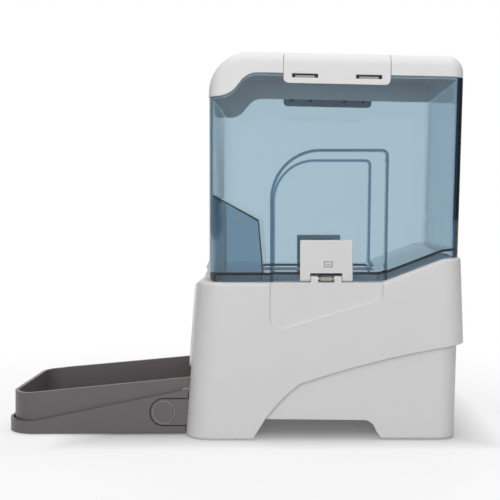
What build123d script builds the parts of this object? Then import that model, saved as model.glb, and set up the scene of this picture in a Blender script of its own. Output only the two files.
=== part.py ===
"""Automatic pet feeder: clear hopper and lid on a white base, with a bowl in front.

Millimetres. X runs to the rear, Y across, Z up; the floor is Z = 0 and the box is centred on X and Y.
"right" is the -Y side and "left" the +Y side.
"""
import math
import os

from build123d import *

# Overall
BASE_LENGTH = 271.5        # toe of the base to the rear face
BOWL_REACH = 178.5         # tip of the tray to the toe of the base
BASE_WIDTH = 200.0
LID_TOP_HEIGHT = 374.0     # lid top behind the front curve
LID_SLOPE = 1.25           # degrees, falling to the rear

# Fits
SEAM = 0.4                 # gap at the seams of pieces that come apart
RUN = 0.05                 # radial running clearance of pins and shafts
PAD_HEIGHT = 1.5           # rubber feet

# Base shells
SHELL_WALL = 2.6
FRONT_LEAN = 11.5          # how far the front face leans back over the deck height
BASE_FRONT_CORNER = 28.0
BASE_REAR_CORNER = 20.0
DECK_EDGE = 4.2
DECK_SLOPE_START = 190.0   # from the toe
DECK_SLOPE_END = 249.0     # from the toe
DECK_REAR_RISE = 25.0
LOWER_INSET = 1.6          # lower shell inside the upper one, each side
LOWER_REAR_INSET = 5.5
LOWER_REAR_DRAFT = 4.0
PARTING_REAR_HEIGHT = 92.0
ARCH_HEIGHT = 19.0
ARCH_FRONT = 67.0          # from the toe, at the floor
ARCH_REAR = 190.0          # from the toe, at the floor
SHIELD_FRONT = 84.0        # from the toe
SHIELD_REAR = 190.0        # from the toe
SHIELD_LOW = 104.0
SHIELD_HIGH = 136.0
SHIELD_DEPTH = 2.0
SHIELD_LEAN = 33.0         # degrees that its sides lean out

# Hopper
HOPPER_SETBACK = 23.5      # from the toe to the hopper's front face
HOPPER_INSET = 4.5         # hopper side inside the base side
HOPPER_WALL = 2.8
HOPPER_REAR_EXTRA = 1.6    # rear wall is thicker than the others
HOPPER_TOE_ARC = 5.5       # rounding under the hopper's front edge
HOPPER_TOE_DEPTH = 8.0     # solid foot behind that rounding
HOPPER_FRONT_CORNER = 18.0
HOPPER_REAR_CORNER = 9.0
HOPPER_REAR_DRAFT = 7.5
FLOOR_LIFT = 6.4           # underside of the hopper floor above the deck
FLOOR_THICK = 2.6
THROAT_FRONT = 77.0        # from the toe
THROAT_REAR = 188.0        # from the toe
THROAT_WIDTH = 112.0
RECESS_FRONT = 86.0        # from the toe
RECESS_REAR = 195.0        # from the toe
RECESS_TOP = 276.5
RECESS_DEPTH = 10.0
RECESS_ARC = 46.0
BAFFLE_WALL = 1.2
BAFFLE_CHEEK = 3.6         # side walls under the slope
BAFFLE_TOP = 236.0
BAFFLE_KNEE = 211.0
BAFFLE_DEPTH = 45.0
CATCH_DEPTH = 6.3
CATCH_WIDTH = 104.0

# Lid
LID_SKIRT = 22.0           # side height of the lid at its front end
LID_FRONT_DROP = 22.7      # how far the front lip hangs lower than the sides
EDGE_FOOT_ARC = 24.0       # where the lid's lower edge leaves the front lip
EDGE_HEAD_ARC = 20.0       # where it meets the side edge
LID_OVERHANG = 2.9         # lid side beyond the hopper side
LID_WALL = 2.6
LID_FRONT_ARC = 40.0
LID_REAR_ARC = 16.0
LID_SHOULDER = 13.0
LID_RIB = 1.5              # locating rib inside the hopper
LID_RIB_WALL = 2.0

# Lid clips
CLIP_FRONT = 96.6          # from the toe
CLIP_LENGTH = 102.8
CLIP_DROP = 9.0            # below the lid's side edge
CLIP_THICK = 2.2
CLIP_CORNER = 5.0
CLIP_HINGE_INSET = 20.0    # hinge line from the lid's side
CLIP_PIN = 1.0             # radius
CLIP_BARREL = 2.2          # radius
WINDOW_LENGTH = 25.0
WINDOW_HEIGHT = 3.9
WINDOW_SPACING = 61.4
HOOK_LENGTH = 18.5

# Hopper latches on the base
LATCH_CENTRE = 137.2       # from the toe
LATCH_LENGTH = 50.6
LATCH_HEIGHT = 40.6        # above the deck
LATCH_THICK = 3.4
LATCH_WINDOW = 30.6
LATCH_PIN = 1.1            # radius
LATCH_BARREL = 2.8         # radius
LATCH_INSET = 5.0          # hinge line inside the base side
LUG_LENGTH = 7.2
SPRING_WIRE = 0.9          # diameter
SPRING_PITCH = 1.45
SPRING_TURNS = 9
SPRING_RADIUS = 2.2        # of the wire's middle line

# Feed mechanism
ROTOR_BACK = 134.5         # axis from the toe
DRUM_LIFT = 4.4            # drum above the battery box
DECK_RISE = 48.0           # flat top of the base above the rotor axis
VANE_RADIUS = 37.5
VANE_COUNT = 6
VANE_THICK = 3.0
HUB_RADIUS = 11.0
DRUM_GAP = 1.0
DRUM_WALL = 2.5
DRUM_WIDTH = 104.0
SHAFT_RADIUS = 4.0
BUSH_RADIUS = 7.0
CHUTE_LOW = 41.0           # chute floor at the front
CHUTE_HIGH = 61.0
GEAR_MODULE = 1.25
ROTOR_TEETH = 48
PINION_TEETH = 16
GEAR_WIDTH = 7.0
BACKLASH = 0.22
GEARBOX_LENGTH = 40.0
GEARBOX_HEIGHT = 30.0
GEARBOX_DEPTH = 19.0
GEARBOX_NOSE = 16.0        # front of the gearbox from the pinion axis
MOTOR_RADIUS = 12.0
MOTOR_LENGTH = 32.0
BRACKET_HALF = 39.0        # height of the bracket above and below the rotor axis
POST_SPREAD = 32.0         # bracket posts above and below the rotor axis
POST_BACK = 18.5           # bracket posts behind the rotor axis
SCREW_SPREAD_X = 28.0      # housing screws from the rotor axis
SCREW_SPREAD_Y = 61.0      # housing screws from the middle plane

# Power
CELL_RADIUS = 16.6
CELL_LENGTH = 61.0
CELL_GAP = 1.2             # between neighbouring cells
CELL_PLAY = 0.4            # round a cell in its box
BATTERY_WALL = 2.0
BATTERY_FRONT = 96.5       # from the toe
COVER_THICK = 2.1

# Front panel
FASCIA_LOW = 63.0
FASCIA_WIDTH = 128.0
FASCIA_THICK = 3.0
BUTTON_LENGTH = 17.0
BUTTON_HEIGHT = 9.0
BUTTON_PITCH = 25.0
BUTTON_PROUD = 1.8

# Bowl and tray
TRAY_FRONT_WIDTH = 160.0
TRAY_REAR_WIDTH = 152.0
TRAY_CORNER = 30.0
TRAY_WALL = 2.6
TRAY_FRONT_EDGE = 13.6
TRAY_REAR_EDGE = 43.5
TRAY_REAR_GAP = 1.2        # tray to the toe of the base
BOWL_INSET = 4.3
BOWL_WALL = 3.4
BOWL_FRONT_RIM = 40.0
BOWL_REAR_RIM = 54.5
ARM_REACH = 34.5           # arm tip from the toe
ARM_HEIGHT = 25.6
ARM_MIDDLE = 21.7
ARM_THICK = 2.6
ARM_GAP = 1.0              # round an arm in its slot
WING_GAP = 0.6             # side walls of tray and bowl to the front of the base

# Derived places
LENGTH = BASE_LENGTH + BOWL_REACH
TIP = -LENGTH / 2
TOE = TIP + BOWL_REACH
REAR = TOE + BASE_LENGTH
HALF = BASE_WIDTH / 2
HOPPER_HALF = HALF - HOPPER_INSET
LID_HALF = HOPPER_HALF + LID_OVERHANG
HOPPER_FRONT = TOE + HOPPER_SETBACK
HOPPER_REAR = REAR - 1.0
SLOPE = math.tan(math.radians(LID_SLOPE))
LID_TOP_FRONT = HOPPER_FRONT + LID_FRONT_ARC
EDGE_START = TOE + 46.0
ROTOR_X = TOE + ROTOR_BACK
CELL_PITCH = 2 * CELL_RADIUS + CELL_GAP
BATTERY_ROOF = ARCH_HEIGHT + SHELL_WALL + 2 * (CELL_RADIUS + CELL_PLAY) + BATTERY_WALL
ROTOR_HEIGHT = BATTERY_ROOF + DRUM_LIFT + DRUM_WALL + DRUM_GAP + VANE_RADIUS
DECK_HEIGHT = ROTOR_HEIGHT + DECK_RISE
LATCH_X = TOE + LATCH_CENTRE
CLIP_X = TOE + CLIP_FRONT + CLIP_LENGTH / 2
FAR = 400.0

os.makedirs("parts", exist_ok=True)


def outline(points, radii):
    """Face from corner points, each with its own rounding."""
    return make_face(FilletPolyline(*points, radius=radii, close=True))


def prism(face, low, high):
    """Side profile drawn in X and Z, run across from Y = low to Y = high."""
    plane = Plane(origin=(0, high, 0), x_dir=(1, 0, 0), z_dir=(0, -1, 0))
    return extrude(plane * face, amount=high - low)


def flared(face, low, high, lean):
    """Side profile run from Y = high to Y = low, growing by a lean in degrees."""
    plane = Plane(origin=(0, high, 0), x_dir=(1, 0, 0), z_dir=(0, -1, 0))
    return extrude(plane * face, amount=high - low, taper=-lean)


def block(x0, x1, y0, y1, z0, z1):
    """Box between two corners."""
    return Pos((x0 + x1) / 2, (y0 + y1) / 2, (z0 + z1) / 2) * Box(x1 - x0, y1 - y0, z1 - z0)


def rod_x(radius, x0, x1, y, z):
    """Round bar along X."""
    return Pos((x0 + x1) / 2, y, z) * Rot(0, 90, 0) * Cylinder(radius, x1 - x0)


def rod_y(radius, y0, y1, x, z):
    """Round bar along Y."""
    return Pos(x, (y0 + y1) / 2, z) * Rot(90, 0, 0) * Cylinder(radius, y1 - y0)


def rod_z(radius, z0, z1, x, y):
    """Round bar along Z."""
    return Pos(x, y, (z0 + z1) / 2) * Cylinder(radius, z1 - z0)


def upright(solid, x_low, x_high):
    """Edges of a solid that run mostly up, between two X limits."""
    picked = []
    for edge in solid.edges():
        start, end = edge @ 0, edge @ 1
        rise = abs(end.Z - start.Z)
        middle = edge @ 0.5
        if rise > 0.9 * edge.length and rise > 8 and x_low < middle.X < x_high:
            picked.append(edge)
    return picked


def mirror_y(solid):
    """The same piece on the other side."""
    return mirror(solid, about=Plane.XZ)


def save(name, *solids):
    """Write one node."""
    solids = [piece for solid in solids for piece in solid.solids()]
    shape = solids[0] if len(solids) == 1 else Compound(children=solids)
    shape.label = name
    export_step(shape, f"parts/{name}.step")
    print(name, len(solids), "solids", round(sum(piece.volume for piece in solids)), "mm3")


def front_x(height):
    """X of the base's leaning front face at a height."""
    return TOE + FRONT_LEAN * height / DECK_HEIGHT


def rear_x(height):
    """X of the base's rear face, which leans in above the parting line."""
    return REAR - max(0.0, height - PARTING_REAR_HEIGHT) * 0.03


def deck_points(lift):
    """Deck line from front to rear, raised by a lift."""
    rise_end = TOE + DECK_SLOPE_END
    return [
        (TOE - FAR, DECK_HEIGHT + lift),
        (TOE + DECK_SLOPE_START, DECK_HEIGHT + lift),
        (rise_end, DECK_HEIGHT + DECK_REAR_RISE * 0.9 + lift),
        (REAR + FAR, DECK_HEIGHT + DECK_REAR_RISE * 0.9 + lift + (REAR + FAR - rise_end) * 0.1),
    ]


def below_deck(lift):
    """Everything under the deck line."""
    points = deck_points(lift) + [(REAR + FAR, -FAR), (TOE - FAR, -FAR)]
    return outline(points, [0, 16, 24, 0, 0, 0])


def lid_line(x):
    """Height of the lid's top line."""
    return LID_TOP_HEIGHT - SLOPE * (x - LID_TOP_FRONT)


def edge_line(x):
    """Height of the lid's side edge behind the front sweep."""
    return lid_line(x) - LID_SKIRT


def below_edge(lift):
    """Everything under the lid's lower edge."""
    low = edge_line(EDGE_START + 16) - LID_FRONT_DROP + lift
    foot = EDGE_START - 2.5
    head = foot + LID_FRONT_DROP * 0.81
    points = [
        (TOE - FAR, low),
        (foot, low),
        (head, edge_line(head) + lift),
        (REAR + FAR, edge_line(REAR + FAR) + lift),
        (REAR + FAR, -FAR),
        (TOE - FAR, -FAR),
    ]
    return outline(points, [0, EDGE_FOOT_ARC, EDGE_HEAD_ARC, 0, 0, 0])


def lid_body(inset, floor):
    """Rounded block under the lid's outer skin, moved in by an inset, down to a floor height."""
    front = HOPPER_FRONT + inset
    rear = HOPPER_REAR - inset
    points = [
        (front, floor),
        (front, lid_line(front) - inset),
        (rear, lid_line(rear) - inset),
        (rear, floor),
    ]
    face = outline(points, [0, LID_FRONT_ARC - inset, LID_REAR_ARC - inset, 0])
    half = LID_HALF - inset
    solid = prism(face, -half, half)
    rims = []
    for edge in solid.edges():
        middle = edge @ 0.5
        ends = [edge @ 0, edge @ 1]
        if abs(abs(middle.Y) - half) < 0.01 and all(abs(abs(p.Y) - half) < 0.01 for p in ends):
            if max(p.Z for p in ends) > floor + 0.01:
                rims.append(edge)
    return fillet(rims, LID_SHOULDER - inset)


def hopper_body(inset, rear_extra):
    """Upright block inside the hopper's outer faces, moved in by an inset and by more at the rear."""
    front = HOPPER_FRONT + inset
    rear = HOPPER_REAR - inset - rear_extra
    top = LID_TOP_HEIGHT + 20
    low = DECK_HEIGHT - 40
    points = [
        (front, low),
        (front, top),
        (rear, top),
        (rear, edge_line(HOPPER_REAR)),
        (rear - HOPPER_REAR_DRAFT, low),
    ]
    half = HOPPER_HALF - inset
    solid = prism(outline(points, [0, 0, 0, 0, 0]), -half, half)
    solid = fillet(upright(solid, front - 5, front + 5), HOPPER_FRONT_CORNER - inset)
    return fillet(upright(solid, HOPPER_REAR - 20, HOPPER_REAR + 5), HOPPER_REAR_CORNER - inset)


def recess_face(grow):
    """D-shaped outline of the side recess, open at the bottom."""
    front = TOE + RECESS_FRONT - grow
    rear = TOE + RECESS_REAR + grow
    top = RECESS_TOP + grow
    low = DECK_HEIGHT - 60
    points = [(front, low), (front, top), (rear, top), (rear - 3.0, low)]
    return outline(points, [0, RECESS_ARC + grow, 4.0 + grow, 0])


def recess(grow):
    """Both side recesses, cut in from the hopper's faces."""
    depth = RECESS_DEPTH + grow
    right = prism(recess_face(grow), -HOPPER_HALF - 5, -HOPPER_HALF + depth)
    return right + mirror_y(right)


# Base upper shell
foot_slant = 11.5
parting = [
    (TOE + ARCH_FRONT, PAD_HEIGHT),
    (TOE + ARCH_FRONT + foot_slant, ARCH_HEIGHT + 1.0),
    (TOE + ARCH_FRONT + 45.0, PARTING_REAR_HEIGHT * 0.585),
    (REAR, PARTING_REAR_HEIGHT),
]
parting_low = ThreePointArc(
    parting[1],
    (TOE + ARCH_FRONT + 24.5, PARTING_REAR_HEIGHT * 0.385),
    parting[2],
)
parting_high = ThreePointArc(
    parting[2],
    (TOE + ARCH_FRONT + 107.0, PARTING_REAR_HEIGHT * 0.787),
    parting[3],
)
top_z = DECK_HEIGHT + 60
upper_edges = [
    Line((front_x(PAD_HEIGHT), PAD_HEIGHT), parting[0]),
    Line(parting[0], parting[1]),
    parting_low,
    parting_high,
    Line(parting[3], (rear_x(top_z), top_z)),
    Line((rear_x(top_z), top_z), (front_x(top_z), top_z)),
    Line((front_x(top_z), top_z), (front_x(PAD_HEIGHT), PAD_HEIGHT)),
]
under_deck = prism(below_deck(0), -HALF - 5, HALF + 5)
upper_outer = prism(make_face(upper_edges), -HALF, HALF)
upper_outer = fillet(upright(upper_outer, TOE - 5, TOE + 25), BASE_FRONT_CORNER)
upper_outer = fillet(upright(upper_outer, REAR - 8, REAR + 5), BASE_REAR_CORNER)
upper_outer = upper_outer & under_deck
deck_edges = []
for edge in upper_outer.edges():
    points = [edge @ 0, edge @ 0.5, edge @ 1]
    if all(p.Z > DECK_HEIGHT - 0.5 for p in points):
        outside = [abs(p.Y) > HALF - BASE_FRONT_CORNER - 1 for p in points]
        ends = [p.X < TOE + 45 or p.X > REAR - 25 for p in points]
        if all(outside) or all(ends):
            deck_edges.append(edge)
upper_outer = fillet(deck_edges, DECK_EDGE)

inner_points = [
    (front_x(PAD_HEIGHT) + SHELL_WALL, PAD_HEIGHT + SHELL_WALL),
    (TOE + ARCH_FRONT - 1.5, PAD_HEIGHT + SHELL_WALL),
    (TOE + ARCH_FRONT + foot_slant - 2.2, ARCH_HEIGHT + 2.4),
    (TOE + ARCH_FRONT + foot_slant + 4.0, ARCH_HEIGHT + 8.0),
    (REAR - SHELL_WALL, ARCH_HEIGHT + 8.0),
    (rear_x(top_z) - SHELL_WALL, top_z),
    (front_x(top_z) + SHELL_WALL, top_z),
]
upper_inner = prism(outline(inner_points, [0] * 7), -HALF + SHELL_WALL, HALF - SHELL_WALL)
upper_inner = fillet(upright(upper_inner, TOE - 5, TOE + 30), BASE_FRONT_CORNER - SHELL_WALL)
upper_inner = fillet(upright(upper_inner, REAR - 12, REAR + 5), BASE_REAR_CORNER - SHELL_WALL)
upper_inner = upper_inner & prism(below_deck(-SHELL_WALL), -HALF, HALF)
upper = upper_outer - upper_inner

shield_points = [
    (TOE + SHIELD_FRONT, DECK_HEIGHT + 30),
    (TOE + SHIELD_FRONT, SHIELD_LOW),
    (TOE + SHIELD_REAR, SHIELD_HIGH),
    (TOE + SHIELD_REAR + 3.0, DECK_HEIGHT + 30),
]
shield = outline(shield_points, [0, 10.0, 4.0, 0])
shield_cut = flared(shield, -HALF - 0.5, -HALF + SHIELD_DEPTH, SHIELD_LEAN)
upper -= shield_cut
upper -= mirror_y(shield_cut)
shield_back = outline(
    [(TOE + SHIELD_FRONT - 3, DECK_HEIGHT - 1)]
    + [(TOE + SHIELD_FRONT - 3, SHIELD_LOW - 5), (TOE + SHIELD_REAR + 4, SHIELD_HIGH - 4)]
    + [(TOE + SHIELD_REAR + 4, DECK_HEIGHT - 1)],
    [0, 10.0, 4.0, 0],
)
upper += prism(shield_back, -HALF + SHIELD_DEPTH, -HALF + SHIELD_DEPTH + SHELL_WALL)
upper += prism(shield_back, HALF - SHIELD_DEPTH - SHELL_WALL, HALF - SHIELD_DEPTH)

inlet_half = THROAT_WIDTH / 2 + 1.0
upper -= block(
    TOE + THROAT_FRONT - 4, TOE + THROAT_REAR + 4,
    -inlet_half - 1, inlet_half + 1,
    DECK_HEIGHT - 12, DECK_HEIGHT + 9,
)
chute_half = DRUM_WIDTH / 2
upper -= block(TOE - 5, TOE + 20, -chute_half - 1, chute_half + 1, CHUTE_LOW - 3.5, CHUTE_HIGH + 3.5)

tray_end = TOE - TRAY_REAR_GAP
tray_length = tray_end - TIP


def tray_half(x):
    """Half width of the tray at a place along it."""
    share = (x - TIP) / tray_length
    return (TRAY_FRONT_WIDTH + (TRAY_REAR_WIDTH - TRAY_FRONT_WIDTH) * share) / 2


arm_x = TOE - ARM_REACH + ARM_HEIGHT / 2
arm_out = tray_half(arm_x)
arm_low = ARM_MIDDLE - ARM_HEIGHT / 2
arm_high = ARM_MIDDLE + ARM_HEIGHT / 2
arm_slot = block(TOE - 6, TOE + 8, arm_out - ARM_THICK - 3.5, arm_out + 1.5, arm_low - 0.5, arm_high + 0.5)
upper = upper - arm_slot - mirror_y(arm_slot)
key_half = FASCIA_WIDTH / 2 - 9
upper -= block(TOE - 2, TOE + 16, -key_half, key_half, FASCIA_LOW + 12, DECK_HEIGHT - 8)

# Latch lugs stand on the deck, two on each side
latch_y = HALF - LATCH_INSET
latch_z = DECK_HEIGHT + LATCH_BARREL + 0.6
lugs = []
for side in (-1, 1):
    start = LATCH_X + side * (LATCH_WINDOW / 2 - LUG_LENGTH / 2 - 0.5)
    lug = block(
        start - LUG_LENGTH / 2, start + LUG_LENGTH / 2,
        -latch_y - LATCH_BARREL, -latch_y + LATCH_BARREL, DECK_HEIGHT - 2.0, latch_z,
    )
    lug += rod_x(LATCH_BARREL, start - LUG_LENGTH / 2, start + LUG_LENGTH / 2, -latch_y, latch_z)
    lug -= rod_x(LATCH_PIN, start - LUG_LENGTH, start + LUG_LENGTH, -latch_y, latch_z)
    lugs.append(lug)
lug_pair = lugs[0] + lugs[1]
upper += lug_pair
upper += mirror_y(lug_pair)
save("base_upper_shell", upper)

# Base lower shell with the arch between its feet
lower_rear = REAR - LOWER_REAR_INSET
lower_half = HALF - LOWER_INSET
lower_edges = [
    Line(parting[1], (TOE + ARCH_REAR - 15.0, ARCH_HEIGHT)),
    ThreePointArc(
        (TOE + ARCH_REAR - 15.0, ARCH_HEIGHT),
        (TOE + ARCH_REAR - 8.5, ARCH_HEIGHT - 4.0),
        (TOE + ARCH_REAR - 5.5, ARCH_HEIGHT - 10.0),
    ),
    Line((TOE + ARCH_REAR - 5.5, ARCH_HEIGHT - 10.0), (TOE + ARCH_REAR, PAD_HEIGHT)),
    Line((TOE + ARCH_REAR, PAD_HEIGHT), (lower_rear - LOWER_REAR_DRAFT, PAD_HEIGHT)),
    Line((lower_rear - LOWER_REAR_DRAFT, PAD_HEIGHT), (lower_rear, PARTING_REAR_HEIGHT + 30)),
    Line((lower_rear, PARTING_REAR_HEIGHT + 30), (TOE + ARCH_FRONT, PARTING_REAR_HEIGHT + 30)),
    Line((TOE + ARCH_FRONT, PARTING_REAR_HEIGHT + 30), parting[1]),
]
under_parting = make_face([
    parting_low,
    parting_high,
    Line(parting[3], (REAR, -20)),
    Line((REAR, -20), (parting[1][0], -20)),
    Line((parting[1][0], -20), parting[1]),
])
lower_outer = prism(make_face(lower_edges), -lower_half, lower_half)
lower_outer = fillet(upright(lower_outer, lower_rear - 10, REAR), BASE_REAR_CORNER - LOWER_INSET)
lower_outer = lower_outer & prism(under_parting, -HALF, HALF)
cavity_points = [
    (TOE + ARCH_FRONT + foot_slant + 9.0, ARCH_HEIGHT + SHELL_WALL),
    (TOE + ARCH_REAR - 12.5, ARCH_HEIGHT + SHELL_WALL),
    (TOE + ARCH_REAR + 1.5, PAD_HEIGHT + SHELL_WALL),
    (lower_rear - LOWER_REAR_DRAFT - SHELL_WALL, PAD_HEIGHT + SHELL_WALL),
    (lower_rear - SHELL_WALL, PARTING_REAR_HEIGHT + 40),
    (TOE + ARCH_FRONT + foot_slant + 9.0, PARTING_REAR_HEIGHT + 40),
]
lower_cavity = prism(outline(cavity_points, [0] * 6), -lower_half + SHELL_WALL, lower_half - SHELL_WALL)
inner_corner = BASE_REAR_CORNER - LOWER_INSET - SHELL_WALL
lower_cavity = fillet(upright(lower_cavity, lower_rear - 12, REAR), inner_corner)
lower = lower_outer - lower_cavity

battery_x0 = TOE + BATTERY_FRONT
battery_x1 = battery_x0 + CELL_LENGTH + 5.0
battery_half = CELL_PITCH + CELL_RADIUS + 0.6
lower -= block(battery_x0, battery_x1, -battery_half, battery_half, ARCH_HEIGHT - 5, ARCH_HEIGHT + 10)
cover_x0 = battery_x0 - 3.0
cover_x1 = battery_x1 + 3.0
cover_half = battery_half + 3.0
cover_top = ARCH_HEIGHT - 0.3
cover_low = cover_top - COVER_THICK
for inner, outer in ((cover_x0, cover_x0 - 2.6), (cover_x1, cover_x1 + 2.6)):
    side = 1 if outer > inner else -1
    gap = inner + side * SEAM
    web = [min(gap, outer + side), max(gap, outer + side)]
    lip = [min(inner - side * 2.0, outer + side), max(inner - side * 2.0, outer + side)]
    lower += block(web[0], web[1], -cover_half, cover_half, cover_low - 2.2, ARCH_HEIGHT + 1.5)
    lower += block(lip[0], lip[1], -cover_half, cover_half, cover_low - 2.2, cover_low - 0.3)

screw_places = []
for x in (ROTOR_X - SCREW_SPREAD_X, ROTOR_X + SCREW_SPREAD_X):
    for y in (-SCREW_SPREAD_Y, SCREW_SPREAD_Y):
        screw_places.append((x, y))
screw_low = ARCH_HEIGHT
for x, y in screw_places:
    lower -= rod_z(1.5, screw_low - 1, screw_low + 10, x, y)
    lower -= Pos(x, y, screw_low + 0.9) * Cone(3.2, 1.5, 1.8)
jack_z = 46.0
jack_y = 40.0
lower -= block(lower_rear - 12, REAR, jack_y - 6.0, jack_y + 6.0, jack_z - 6.0, jack_z + 6.0)
save("base_lower_shell", lower)

# Feet
front_pads = [(TOE + 16.0, 66.0), (TOE + 16.0, -66.0)]
rear_pads = [(REAR - 30.0, 78.0), (REAR - 30.0, -78.0)]
save("rubber_feet", *[rod_z(8.0, 0, PAD_HEIGHT, x, y) for x, y in front_pads + rear_pads])

# Power inlet in the rear wall
jack_front = lower_rear - 16.0
jack_face = lower_rear - 2.6
jack = block(jack_front, jack_face, jack_y - 6.0, jack_y + 6.0, jack_z - 6.0, jack_z + 6.0)
jack -= rod_x(3.2, jack_face - 10.0, jack_face + 5, jack_y, jack_z)
jack += rod_x(1.0, jack_face - 10.5, jack_face - 1.5, jack_y, jack_z)
save("power_inlet", jack)

# Battery box, cells, contacts and cover
box_wall = BATTERY_WALL
box_low = ARCH_HEIGHT + SHELL_WALL
cell_z = box_low + CELL_RADIUS + CELL_PLAY
box_top = cell_z + CELL_RADIUS + CELL_PLAY
box = block(
    battery_x0 - box_wall, battery_x1 + box_wall, -battery_half - box_wall, battery_half + box_wall,
    box_low, box_top + box_wall,
)
box -= block(battery_x0, battery_x1, -battery_half, battery_half, box_low - 5, box_top)
save("battery_box", box)
cell_x0 = battery_x0 + 2.5
cell_places = [-CELL_PITCH, 0.0, CELL_PITCH]
cells = []
contacts = []
for place in cell_places:
    cell = rod_x(CELL_RADIUS, cell_x0 + 1.5, cell_x0 + CELL_LENGTH, place, cell_z)
    cells.append(cell + rod_x(4.5, cell_x0, cell_x0 + 2.0, place, cell_z))
    contacts.append(block(battery_x0, cell_x0, place - 8, place + 8, cell_z - 8, cell_z + 8))
    contacts.append(block(cell_x0 + CELL_LENGTH, battery_x1, place - 8, place + 8, cell_z - 8, cell_z + 8))
save("battery_cells", *cells)
save("battery_contacts", *contacts)
cover = block(cover_x0, cover_x1, -cover_half, cover_half, cover_low, cover_top)
cover_mid = (cover_x0 + cover_x1) / 2
for step in range(5):
    y = -cover_half + 8.0 + 4.0 * step
    cover -= block(cover_mid - 15.0, cover_mid + 15.0, y - 0.8, y + 0.8, cover_low - 1, cover_low + 0.6)
save("battery_cover", cover)

# Feed housing: inlet, drum and chute in one moulding
drum_in = VANE_RADIUS + DRUM_GAP
drum_out = drum_in + DRUM_WALL
drum_half = DRUM_WIDTH / 2
collar_top = DECK_HEIGHT + FLOOR_LIFT - 1.0
rim_front = TOE + THROAT_FRONT
rim_rear = TOE + THROAT_REAR


def throat_face(grow, top):
    """Inlet that narrows from the hopper's throat to the drum."""
    neck = drum_in - 3.0 + grow
    points = [
        (rim_front - grow, top),
        (rim_front - grow, DECK_HEIGHT - 2.0),
        (ROTOR_X - neck, DECK_HEIGHT - 16.0),
        (ROTOR_X - neck, ROTOR_HEIGHT),
        (ROTOR_X + neck, ROTOR_HEIGHT),
        (ROTOR_X + neck, DECK_HEIGHT - 16.0),
        (rim_rear + grow, DECK_HEIGHT - 2.0),
        (rim_rear + grow, top),
    ]
    return outline(points, [0] * 8)


def chute_face(grow, front):
    """Slide from the drum to the front of the base."""
    points = [
        (front, CHUTE_LOW - grow),
        (ROTOR_X - 30.0, ROTOR_HEIGHT - 22.0 - grow),
        (ROTOR_X - 10.0, ROTOR_HEIGHT - 22.0 - grow),
        (ROTOR_X - 10.0, ROTOR_HEIGHT + 6.0),
        (ROTOR_X - drum_in + 4.0, ROTOR_HEIGHT + grow),
        (front, CHUTE_HIGH + grow),
    ]
    return outline(points, [0] * 6)


chute_front = front_x(CHUTE_HIGH) + 0.6
drum_outer = prism(throat_face(DRUM_WALL, collar_top), -drum_half, drum_half)
drum_outer += rod_y(drum_out, -drum_half, drum_half, ROTOR_X, ROTOR_HEIGHT)
drum_outer += prism(chute_face(DRUM_WALL, chute_front), -drum_half, drum_half)
in_half = drum_half - DRUM_WALL
housing = drum_outer - prism(throat_face(0, collar_top + 5), -in_half, in_half)
housing -= rod_y(drum_in, -in_half, in_half, ROTOR_X, ROTOR_HEIGHT)
housing -= prism(chute_face(0, chute_front - 5), -in_half, in_half)
leg_top = ROTOR_HEIGHT - 22.5
for x, y in screw_places:
    side = 1 if y > 0 else -1
    near, far = sorted((side * (drum_half - 2.0), side * (SCREW_SPREAD_Y + 4.0)))
    housing += block(x - 4.5, x + 4.5, near, far, box_top + box_wall + 1.0, leg_top)
    near, far = sorted((side * (battery_half + box_wall + 0.5), side * (SCREW_SPREAD_Y + 4.0)))
    housing += block(x - 4.5, x + 4.5, near, far, box_low, leg_top)
    housing -= rod_z(1.5, box_low - 1, box_low + 12, x, y)
housing -= rod_y(BUSH_RADIUS, -drum_half - 5, drum_half + 5, ROTOR_X, ROTOR_HEIGHT)
post_places = [(ROTOR_X + POST_BACK, ROTOR_HEIGHT + side * POST_SPREAD) for side in (1, -1)]
bracket_y = drum_half + 13.5
for x, z in post_places:
    housing += rod_y(3.0, drum_half - 1.0, bracket_y, x, z)
save("feed_housing", housing)
save("base_screws", *[
    rod_z(1.5, screw_low + 1.0, screw_low + 12.0, x, y)
    + Pos(x, y, screw_low + 0.9) * Cone(3.2, 1.5, 1.8)
    - block(x - 2.2, x + 2.2, y - 0.4, y + 0.4, screw_low - 1, screw_low + 0.9)
    - block(x - 0.4, x + 0.4, y - 2.2, y + 2.2, screw_low - 1, screw_low + 0.9)
    for x, y in screw_places
])

# Rotor
bushes = []
for side in (-1, 1):
    low, high = sorted((side * in_half, side * (drum_half + 2.0)))
    bush = rod_y(BUSH_RADIUS, low, high, ROTOR_X, ROTOR_HEIGHT)
    bushes.append(bush - rod_y(SHAFT_RADIUS + RUN, low - 1, high + 1, ROTOR_X, ROTOR_HEIGHT))
save("rotor_bushes", *bushes)
gear_y0 = drum_half + 4.5
gear_y1 = gear_y0 + GEAR_WIDTH
cam_y0 = -drum_half - 8.0
save("rotor_shaft", rod_y(SHAFT_RADIUS, cam_y0 - 2.0, gear_y1 + 1.0, ROTOR_X, ROTOR_HEIGHT))
hub_half = in_half - 1.0
hub = rod_y(HUB_RADIUS, -hub_half, hub_half, ROTOR_X, ROTOR_HEIGHT)
hub -= rod_y(SHAFT_RADIUS, -hub_half - 1, hub_half + 1, ROTOR_X, ROTOR_HEIGHT)
vanes = []
for index in range(VANE_COUNT):
    turn = Pos(ROTOR_X, 0, ROTOR_HEIGHT) * Rot(0, 360 / VANE_COUNT * index + 15, 0)
    root = HUB_RADIUS - 3.5
    reach = VANE_RADIUS - root
    out = turn * Pos((root + VANE_RADIUS) / 2, 0, 0)
    vanes.append(out * Box(reach, 2 * hub_half - 1.0, VANE_THICK))
    hub -= out * Box(reach, 2 * hub_half + 2, VANE_THICK)
save("rotor_hub", hub)
save("rotor_vanes", *vanes)


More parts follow.
